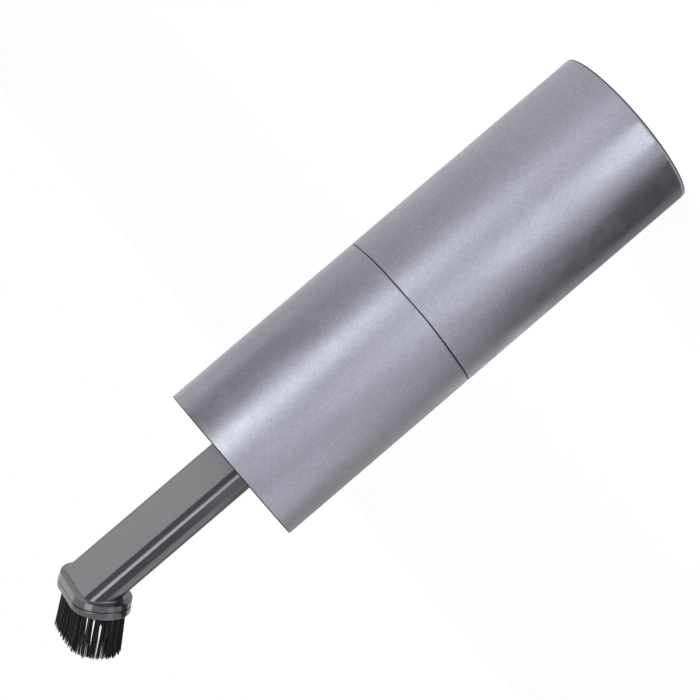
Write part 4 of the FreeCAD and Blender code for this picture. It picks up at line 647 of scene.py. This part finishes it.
def fill_bristle_tree(tree, given, end, row):
    """Root places, leaning lines, strands and the mouth's slant."""
    index = put(tree, "GeometryNodeInputIndex").outputs[0]
    spots = put(tree, "GeometryNodePoints", Count=given["Tufts"])
    run = maths(tree, "FRACT", maths(tree, "ADD", maths(tree, "DIVIDE", index, given["Tufts"]), ROW_START))
    sample = put(tree, "GeometryNodeSampleCurve", {"mode": "FACTOR"}, Curves=row, Factor=run)
    spots = put(tree, "GeometryNodeSetPosition", Geometry=spots.outputs["Points"],
                Position=sample.outputs["Position"])
    copies = put(tree, "GeometryNodeDuplicateElements", {"domain": "POINT"},
                 Geometry=spots.outputs["Geometry"], Amount=given["Strands"])
    angle = random_between(tree, 0.0, math.tau, given["Seed"], 0)
    reach = maths(tree, "SQRT", random_between(tree, 0.0, 1.0, given["Seed"], 1))
    aside = put(tree, "ShaderNodeCombineXYZ", X=maths(tree, "MULTIPLY", maths(tree, "COSINE", angle), reach),
                Y=maths(tree, "MULTIPLY", maths(tree, "SINE", angle), reach)).outputs["Vector"]
    roots = put(tree, "GeometryNodeSetPosition", Geometry=copies.outputs["Geometry"],
                Offset=vectors(tree, "SCALE", aside, scale=given["Tuft radius"]))
    lines = put(tree, "GeometryNodeCurvePrimitiveLine", End=(0.0, 0.0, 1.0))
    lean = maths(tree, "DIVIDE", given["Spread"], given["Length"])
    way = vectors(tree, "ADD", (0.0, 0.0, 1.0), vectors(tree, "SCALE", aside, scale=lean))
    turn = put(tree, "FunctionNodeAlignRotationToVector", {"axis": "Z"}, Vector=way)
    short = random_between(tree, maths(tree, "SUBTRACT", 1.0, given["Ragged"]), 1.0, given["Seed"], 2)
    standing = put(tree, "GeometryNodeInstanceOnPoints", Points=roots.outputs["Geometry"],
                   Instance=lines.outputs["Curve"], Rotation=turn.outputs["Rotation"],
                   Scale=maths(tree, "MULTIPLY", short, given["Length"]))
    strands = put(tree, "GeometryNodeRealizeInstances", Geometry=standing.outputs["Instances"])
    strands = put(tree, "GeometryNodeResampleCurve", {"mode": "COUNT"}, Curve=strands.outputs["Geometry"],
                  Count=5)
    share = put(tree, "GeometryNodeSplineParameter").outputs["Factor"]
    here = put(tree, "GeometryNodeInputPosition").outputs[0]
    flat = vectors(tree, "MULTIPLY", here, (1.0, 1.0, 0.0))
    stray = put(tree, "ShaderNodeTexNoise", Vector=flat, Scale=420.0, Detail=2.0)
    stray = vectors(tree, "SUBTRACT", stray.outputs["Color"], (0.5, 0.5, 0.5))
    stray = vectors(tree, "MULTIPLY", stray, (1.0, 1.0, 0.0))
    outward = vectors(tree, "SCALE", vectors(tree, "NORMALIZE", flat), scale=given["Flare"])
    upward = put(tree, "ShaderNodeCombineXYZ", Y=maths(tree, "SUBTRACT", 0.0, given["Sweep"]))
    moved = vectors(tree, "ADD", vectors(tree, "SCALE", stray, scale=given["Bend"]),
                    vectors(tree, "ADD", outward, upward.outputs["Vector"]))
    strands = put(tree, "GeometryNodeSetPosition", Geometry=strands.outputs["Curve"],
                  Offset=vectors(tree, "SCALE", moved, scale=maths(tree, "POWER", share, 1.4)))
    thin = spread_out(tree, share, 0.6, 1.0, 1.0, 0.62)
    section = put(tree, "GeometryNodeCurvePrimitiveCircle", Resolution=5, Radius=given["Strand radius"])
    solid = put(tree, "GeometryNodeCurveToMesh", Curve=strands.outputs["Geometry"],
                Profile_Curve=section.outputs["Curve"], Scale=thin, Fill_Caps=True)
    lift = put(tree, "ShaderNodeCombineXYZ", Y=given["Row shift"], Z=given["Root"])
    slant = put(tree, "ShaderNodeCombineXYZ", X=maths(tree, "SUBTRACT", 0.0, given["Turn"]))
    level = put(tree, "GeometryNodeTransform", Geometry=solid.outputs["Mesh"],
                Translation=lift.outputs["Vector"])
    placed = put(tree, "GeometryNodeTransform", Geometry=level.outputs["Geometry"],
                 Translation=given["Mouth"], Rotation=slant.outputs["Vector"])
    whole = put(tree, "GeometryNodeRealizeInstances", Geometry=placed.outputs["Geometry"])
    dressed = put(tree, "GeometryNodeSetMaterial", Geometry=whole.outputs["Geometry"],
                  Material=given["Finish"])
    tree.links.new(dressed.outputs["Geometry"], end.inputs["Geometry"])


def grown(name, tree, **inputs):
    """A piece whose mesh comes from a geometry node tree with these inputs."""
    piece = new_piece(name, bpy.data.meshes.new(name))
    modifier = piece.modifiers.new("shape", "NODES")
    modifier.node_group = tree
    keys = {item.name: item.identifier for item in tree.interface.items_tree if item.in_out == "INPUT"}
    for label, given in inputs.items():
        modifier[keys[label.replace("_", " ")]] = given
    plain_mesh(piece)
    return piece


def turned_out(mesh):
    """Merge doubles and point every face outwards."""
    shape = bmesh.new()
    shape.from_mesh(mesh)
    bmesh.ops.remove_doubles(shape, verts=shape.verts, dist=0.0000002)
    bmesh.ops.recalc_face_normals(shape, faces=shape.faces)
    for face in shape.faces:
        face.smooth = True
    shape.to_mesh(mesh)
    shape.free()


class MakeSleeves(bpy.types.Operator):
    """Turn the two aluminium sleeves with their fine edges."""
    bl_idname = "desk_vacuum.sleeves"
    bl_label = "Sleeves"

    def execute(self, context):
        sizes = context.scene.vacuum_sleeves
        tree = sleeve_tree()
        wall = BODY_RADIUS - BORE_RADIUS
        rear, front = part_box("rear_sleeve"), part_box("front_sleeve")
        turned_tube(tree, sizes, "rear_tube", BODY_RADIUS, wall, rear[0].z - TAIL_DEPTH,
                    rear[1].z + sizes.seam_close, sizes.tail_edge, sizes.seam_crown, "rear_sleeve")
        turned_tube(tree, sizes, "front_tube", BODY_RADIUS, wall, front[0].z, front[1].z - sizes.liner,
                    sizes.seam_edge, sizes.front_edge, "front_sleeve")
        # Dark rings past the outer rims; the front one is painted shade for the gap between sleeve and cup.
        inner = BODY_RADIUS - DARK_LIP_STEP
        turned_tube(tree, sizes, "front_shade_lip", inner, wall - DARK_LIP_STEP, front[1].z - 2.0 * sizes.liner,
                    front[1].z, 0.0, DARK_LIP_EDGE, "dust_cup", False)
        turned_tube(tree, sizes, "tail_liner", inner, wall - DARK_LIP_STEP, rear[0].z - LINER_DEPTH,
                    rear[0].z + DARK_LIP_EDGE, DARK_LIP_EDGE, 0.0, "tail_cap", False)
        return {"FINISHED"}


def turned_tube(tree, sizes, name, radius, wall, low, high, low_edge, high_edge, node, replaces=True):
    """A turned tube with rounded edges, that stands for a CAD node or only rides and looks like it."""
    piece = grown(name, tree, Radius=radius, Wall=wall, Low=low, High=high, Inner_edge=sizes.inner_edge,
                  Low_edge=low_edge, High_edge=high_edge, Steps=sizes.steps, Finish=finish_of(slot_of(node)))
    turned_out(piece.data)
    shade_evenly(piece)
    if replaces:
        return settle(piece, node)
    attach(piece, body_of(node))
    return piece


class MakeSeam(bpy.types.Operator):
    """Finish the collar and seal between the two halves."""
    bl_idname = "desk_vacuum.seam"
    bl_label = "Seam"

    def execute(self, context):
        finished("seam_collar", "seam_ring", 0.00012)
        finished("cup_seal", "seam_seal", 0.0)
        return {"FINISHED"}


class MakeTail(bpy.types.Operator):
    """Finish the tail: cap, foot, light ring, button, charging socket and foam."""
    bl_idname = "desk_vacuum.tail"
    bl_label = "Tail"

    def execute(self, context):
        finished("tail_cap", "vented_cap", 0.00018)
        finished("foot_ring", "rubber_foot", 0.0001)
        finished("indicator_ring", "light_ring", 0.00012)
        finished("power_button", "round_button", 0.00012, least=20.0)
        finished("usb_c_socket", "charging_socket", 0.00006)
        for node in ("exhaust_foam", "cap_screws", "button_spring"):
            keep_node(node)
        return {"FINISHED"}


class MakeInnards(bpy.types.Operator):
    """Give the electronics, battery, motor and fan their finishes."""
    bl_idname = "desk_vacuum.innards"
    bl_label = "Innards"

    def execute(self, context):
        for node in ("control_board", "tact_switch", "status_leds", "board_screws", "battery_holder",
                     "battery_lid", "lid_screws", "battery_cell_left", "battery_cell_right",
                     "battery_tab_lower", "battery_tabs_upper", "motor_can", "motor_end_bell",
                     "motor_mount_rear", "motor_mount_front", "motor_chassis", "motor_screws", "motor_shaft",
                     "fan_housing", "impeller"):
            keep_node(node)
        finished("fan_inlet_cover", "fan_grille", 0.00015)
        return {"FINISHED"}


class MakeFilter(bpy.types.Operator):
    """Finish the filter that lifts out of the collar."""
    bl_idname = "desk_vacuum.filter"
    bl_label = "Filter"

    def execute(self, context):
        finished("filter_frame", "filter_rim", 0.00015)
        finished("prefilter_mesh", "steel_screen", 0.00005)
        finished("hepa_filter", "pleated_sheet", 0.00008)
        finished("filter_gasket", "filter_ring", 0.0001)
        return {"FINISHED"}


class MakeCup(bpy.types.Operator):
    """Finish the dust cup with the nozzle's guide."""
    bl_idname = "desk_vacuum.cup"
    bl_label = "Dust cup"

    def execute(self, context):
        finished("dust_cup", "front_cup", 0.00012)
        finished("nozzle_bezel", "nozzle_frame", 0.0002)
        finished("nozzle_guide", "slide_guide", 0.00015)
        for node in ("nozzle_seal", "guide_screws"):
            keep_node(node)
        return {"FINISHED"}


def on_bead(edge):
    """Whether an edge runs round the outside of the mouth's bead, and stands off the tube."""
    places = [corner.co - MOUTH_MIDDLE for corner in edge.verts]
    away = [place.dot(MOUTH_AWAY) for place in places]
    down = [place.dot(MOUTH_DOWN) for place in places]
    if min(away) < -0.00005 or max(away) > 0.0025 or not outside_row(edge, BEAD_OUTSIDE):
        return False
    return min(away) > 0.0010 or min(down) > -0.0036


def on_ring_side(edge):
    """Whether an edge runs round the outside of the brush ring."""
    return outside_row(edge, RING_OUTSIDE)


def outside_row(edge, radius):
    """Whether an edge lies further than a radius from the middle line of the mouth."""
    return all(from_row(corner.co) >= radius for corner in edge.verts)


def from_row(place):
    """Distance of a place from the middle line of the mouth."""
    sizes = bpy.context.scene.vacuum_bristles
    place = place - MOUTH_MIDDLE
    across = max(abs(place.x) - sizes.row_half, 0.0)
    return math.hypot(across, place.dot(MOUTH_DOWN) - sizes.row_shift)


def leaned_bead(shape):
    """Thicken the bead, and lean its side out up the slope, where the flat tube runs into it."""
    for corner in shape.verts:
        away = (corner.co - MOUTH_MIDDLE).dot(MOUTH_AWAY)
        if abs(away - BEAD_THICKNESS) < LAYER_TOLERANCE:
            share = up_slope(corner.co)
            if from_row(corner.co) > BEAD_OUTSIDE:
                corner.co -= MOUTH_DOWN * (share * MOUTH_LEAN)
            corner.co += MOUTH_AWAY * (BEAD_THICKER + share * GROOVE_DROP)


def wider_ring(shape):
    """Draw the brush ring's outside up the slope, and its back towards the bead."""
    for corner in shape.verts:
        away = (corner.co - MOUTH_MIDDLE).dot(MOUTH_AWAY)
        share = up_slope(corner.co)
        if from_row(corner.co) > RING_OUTSIDE:
            corner.co -= MOUTH_DOWN * (share * MOUTH_LEAN)
        if abs(away - RING_BACK) < LAYER_TOLERANCE:
            corner.co += MOUTH_AWAY * (share * GROOVE_DROP - RING_NEARER)
        elif abs(away - RING_FACE) < LAYER_TOLERANCE:
            corner.co += MOUTH_AWAY * RING_HIGHER


def up_slope(place):
    """How far a place lies up the slope: none at the mouth's middle line, one at its straight side."""
    row = bpy.context.scene.vacuum_bristles
    return max(row.row_shift - (place - MOUTH_MIDDLE).dot(MOUTH_DOWN), 0.0) / MOUTH_ROUND


class MakeNozzle(bpy.types.Operator):
    """Finish the nozzle with its rounded bead, stop and dust flap."""
    bl_idname = "desk_vacuum.nozzle"
    bl_label = "Nozzle"

    def execute(self, context):
        finished("nozzle_tube", "flat_nozzle", 0.00045, 4, on_bead, shaped=leaned_bead)
        finished("nozzle_stop", "slide_stop", 0.00015)
        finished("dust_flap", "inner_flap", 0.00008)
        keep_node("flap_pin")
        return {"FINISHED"}


class MakeBrush(bpy.types.Operator):
    """Finish the brush ring and plant its bristles."""
    bl_idname = "desk_vacuum.brush"
    bl_label = "Brush"

    def execute(self, context):
        finished("brush_ring", "bristle_ring", 0.00045, 4, on_ring_side, shaped=wider_ring)
        sizes = context.scene.vacuum_bristles
        tree, given, end, row = bristle_tree()
        fill_bristle_tree(tree, given, end, row)
        piece = grown("black_bristles", tree, Tufts=sizes.tufts, Strands=sizes.strands,
                      Row_half=sizes.row_half, Row_radius=sizes.row_radius, Row_shift=sizes.row_shift,
                      Root=sizes.root, Length=sizes.length, Tuft_radius=sizes.tuft_radius,
                      Strand_radius=sizes.strand_radius, Spread=sizes.spread, Flare=sizes.flare,
                      Sweep=sizes.sweep, Bend=sizes.bend, Ragged=sizes.ragged, Seed=sizes.seed,
                      Mouth=tuple(MOUTH_MIDDLE), Turn=MOUTH_SLANT, Finish=finish_of(slot_of("bristle_tufts")))
        turned_out(piece.data)
        settle(piece, "bristle_tufts")
        return {"FINISHED"}


def light_path_share(tree):
    """One for rays that see the backdrop: from the camera, a gloss or a glass."""
    path = put(tree, "ShaderNodeLightPath").outputs
    seen = maths(tree, "MAXIMUM", path["Is Camera Ray"], path["Is Glossy Ray"])
    return maths(tree, "MAXIMUM", seen, path["Is Transmission Ray"])


def make_world(ambient):
    """White where the backdrop is seen, and even soft light elsewhere."""
    world = bpy.data.worlds.new("studio")
    world.use_nodes = True
    tree = world.node_tree
    seen = light_path_share(tree)
    strength = spread_out(tree, seen, 0.0, 1.0, ambient, 1.0)
    back = tree.nodes["Background"]
    back.inputs["Color"].default_value = (1.0, 1.0, 1.0, 1.0)
    tree.links.new(strength, back.inputs["Strength"])
    bpy.context.scene.world = world


def make_floor(colour):
    """A wide pale floor that looks white, keeps the object's soft shadow and is clear from below."""
    shape = bmesh.new()
    bmesh.ops.create_circle(shape, cap_ends=True, radius=8.0, segments=96)
    mesh = bpy.data.meshes.new("floor")
    shape.to_mesh(mesh)
    shape.free()
    floor = new_piece("floor", mesh)
    material = bpy.data.materials.new("pale_floor")
    material.use_nodes = True
    tree = material.node_tree
    tree.nodes.clear()
    matt = put(tree, "ShaderNodeBsdfDiffuse", Color=(*colour, 1.0))
    glow = put(tree, "ShaderNodeEmission", Color=(1.0, 1.0, 1.0, 1.0), Strength=1.14)
    share = maths(tree, "MULTIPLY", light_path_share(tree), 0.75)
    both = tree.nodes.new("ShaderNodeMixShader")
    feed(tree, both.inputs[0], share)
    tree.links.new(matt.outputs[0], both.inputs[1])
    tree.links.new(glow.outputs[0], both.inputs[2])
    clear = put(tree, "ShaderNodeBsdfTransparent")
    sides = tree.nodes.new("ShaderNodeMixShader")
    feed(tree, sides.inputs[0], put(tree, "ShaderNodeNewGeometry").outputs["Backfacing"])
    tree.links.new(both.outputs[0], sides.inputs[1])
    tree.links.new(clear.outputs[0], sides.inputs[2])
    put(tree, "ShaderNodeOutputMaterial", Surface=sides.outputs[0])
    floor.data.materials.append(material)


def compass(degrees):
    """A level direction, in degrees about +Z from +X."""
    angle = math.radians(degrees)
    return Vector((math.cos(angle), math.sin(angle), 0.0))


def make_lamp(name, place, facing, width, tall, brightness):
    """A soft rectangular lamp. Its energy follows from its brightness and its area."""
    data = bpy.data.lights.new(name, "AREA")
    data.shape = "RECTANGLE"
    data.size = width
    data.size_y = tall
    data.energy = brightness * math.pi * width * tall
    lamp = bpy.data.objects.new(name, data)
    bpy.context.scene.collection.objects.link(lamp)
    lamp.location = place
    lamp.rotation_mode = "QUATERNION"
    lamp.rotation_quaternion = facing.to_track_quat("-Z", "Y")
    lamp.visible_camera = False
    return lamp


def make_card(name, brightness, start, stop, low, high, colour=(1.0, 1.0, 1.0)):
    """An upright card bent round the Z axis, that only glossy surfaces see."""
    rows = []
    for number in range(CARD_STEPS + 1):
        way = compass(start + (stop - start) * number / CARD_STEPS) * CARD_DISTANCE
        rows.append((way + Vector((0.0, 0.0, low)), way + Vector((0.0, 0.0, high))))
    stand_card(name, brightness, rows, colour)


def make_floor_card(name, brightness, start, stop, reach, height):
    """A card on the floor, laid where the camera sees it in the body between two angles round it."""
    rows = []
    for number in range(CARD_STEPS + 1):
        turn = start + (stop - start) * number / CARD_STEPS
        foot = compass(TO_CAMERA - turn) * (BODY_RADIUS + 0.0005) + Vector((0.0, 0.0, height))
        rows.append((foot, foot + compass(TO_CAMERA - 2.0 * turn) * reach))
    stand_card(name, brightness, rows)


def stand_card(name, brightness, rows, colour=(1.0, 1.0, 1.0)):
    """The mesh and the plain glow of a card, from pairs of corners."""
    shape = bmesh.new()
    pairs = [(shape.verts.new(first), shape.verts.new(second)) for first, second in rows]
    for (first, second), (third, fourth) in zip(pairs, pairs[1:]):
        shape.faces.new((first, third, fourth, second))
    mesh = bpy.data.meshes.new(name)
    shape.to_mesh(mesh)
    shape.free()
    card = new_piece(name, mesh)
    material = bpy.data.materials.new(name)
    material.use_nodes = True
    tree = material.node_tree
    tree.nodes.clear()
    glow = put(tree, "ShaderNodeEmission", Color=(*colour, 1.0), Strength=brightness)
    put(tree, "ShaderNodeOutputMaterial", Surface=glow.outputs[0])
    card.data.materials.append(material)
    card.visible_camera = False
    card.visible_diffuse = False
    card.visible_shadow = False
    card.visible_transmission = False


def make_camera(scene):
    """The camera at the photograph's place, turned as it was."""
    data = bpy.data.cameras.new("camera")
    data.lens = CAMERA_LENS
    data.sensor_width = 36.0
    data.clip_start = 0.05
    camera = bpy.data.objects.new("camera", data)
    scene.collection.objects.link(camera)
    up = CAMERA_RIGHT.cross(CAMERA_AHEAD)
    camera.rotation_mode = "QUATERNION"
    camera.rotation_quaternion = Matrix((CAMERA_RIGHT, up, -CAMERA_AHEAD)).transposed().to_quaternion()
    camera.location = CAMERA_PLACE
    scene.camera = camera


class MakeStage(bpy.types.Operator):
    """Set the floor, the lamps, the world and the camera."""
    bl_idname = "desk_vacuum.stage"
    bl_label = "Stage"

    def execute(self, context):
        scene = context.scene
        settings = scene.vacuum_stage
        make_world(settings.ambient)
        make_floor(settings.floor)
        level = Vector((0.0, 0.0, 1.0))
        band = compass(238.5)
        make_lamp("band_lamp", band * 1.15 + level * 0.56, -band, 0.45, 0.90, settings.band)
        low_band = compass(244.0)
        make_lamp("low_band_lamp", low_band * 1.15 + level * 0.055, -low_band, 0.20, 0.11, settings.band)
        side = compass(327.0)
        make_lamp("side_lamp", side * 1.25 + level * 0.40, -side, 0.24, 0.44, settings.side)
        above = Vector((-0.45, -0.55, 0.70)).normalized()
        make_lamp("key_lamp", above * 1.7, -above, 0.9, 0.9, settings.key)
        behind = compass(348.0) * math.cos(math.radians(28.0)) + level * math.sin(math.radians(28.0))
        make_lamp("back_lamp", behind * 1.5 + level * 0.2, -behind, 0.75, 0.50, settings.back)
        make_floor_card("floor_strip", settings.strip, 3.0, 19.5, 1.4, 0.0010)
        make_card("left_card", settings.grey, 262.0, 312.0, 0.001, 1.6)
        make_card("front_card", settings.grey, 163.0, 225.0, 0.220, 0.60)
        make_card("line_card", settings.line, 230.0, 248.0, 0.215, 0.80)
        make_card("right_card", settings.pale, 45.0, 118.0, 0.001, 0.210, WARM)
        make_card("far_card", settings.pale, 45.0, 102.0, 0.210, 1.6, WARM)
        make_card("bright_card", settings.bright, 103.0, 155.0, 0.210, 1.3)
        make_card("side_card", settings.warm, 314.0, 350.0, 0.020, 0.170, WARM)
        make_floor_card("low_card", settings.dark, 35.0, 66.0, 0.8, 0.0008)
        make_floor_card("corner_card", settings.corner, 66.5, 84.0, 0.4, 0.0008)
        make_floor_card("shade_card", settings.shade, 28.5, 34.8, 0.5, 0.0008)
        make_camera(scene)
        scene.view_settings.view_transform = "Standard"
        return {"FINISHED"}


class VacuumPanel(bpy.types.Panel):
    """Lists the pieces that can be made."""
    bl_idname = "VIEW3D_PT_desk_vacuum"
    bl_label = "Desk Vacuum"
    bl_space_type = "VIEW_3D"
    bl_region_type = "UI"
    bl_category = "Desk Vacuum"

    def draw(self, context):
        scene = context.scene
        for group in (scene.vacuum_sleeves, scene.vacuum_bristles, scene.vacuum_colours, scene.vacuum_stage):
            box = self.layout.box()
            for name in group.__annotations__:
                box.prop(group, name)
        for maker in MAKERS:
            self.layout.operator(maker.bl_idname)


MAKERS = (MakeSleeves, MakeSeam, MakeTail, MakeInnards, MakeFilter, MakeCup, MakeNozzle, MakeBrush, MakeStage)
GROUPS = {
    "vacuum_sleeves": SleeveSizes,
    "vacuum_bristles": BristleSizes,
    "vacuum_colours": FinishColours,
    "vacuum_stage": StageSettings,
}


def register():
    for kind in (*GROUPS.values(), *MAKERS, VacuumPanel):
        bpy.utils.register_class(kind)
    for name, kind in GROUPS.items():
        setattr(bpy.types.Scene, name, PointerProperty(type=kind))


def unregister():
    for name in GROUPS:
        delattr(bpy.types.Scene, name)
    for kind in reversed((*GROUPS.values(), *MAKERS, VacuumPanel)):
        bpy.utils.unregister_class(kind)


def main():
    """Make every piece."""
    register()
    for maker in MAKERS:
        group, name = maker.bl_idname.split(".")
        getattr(getattr(bpy.ops, group), name)()


if __name__ == "__main__":
    main()
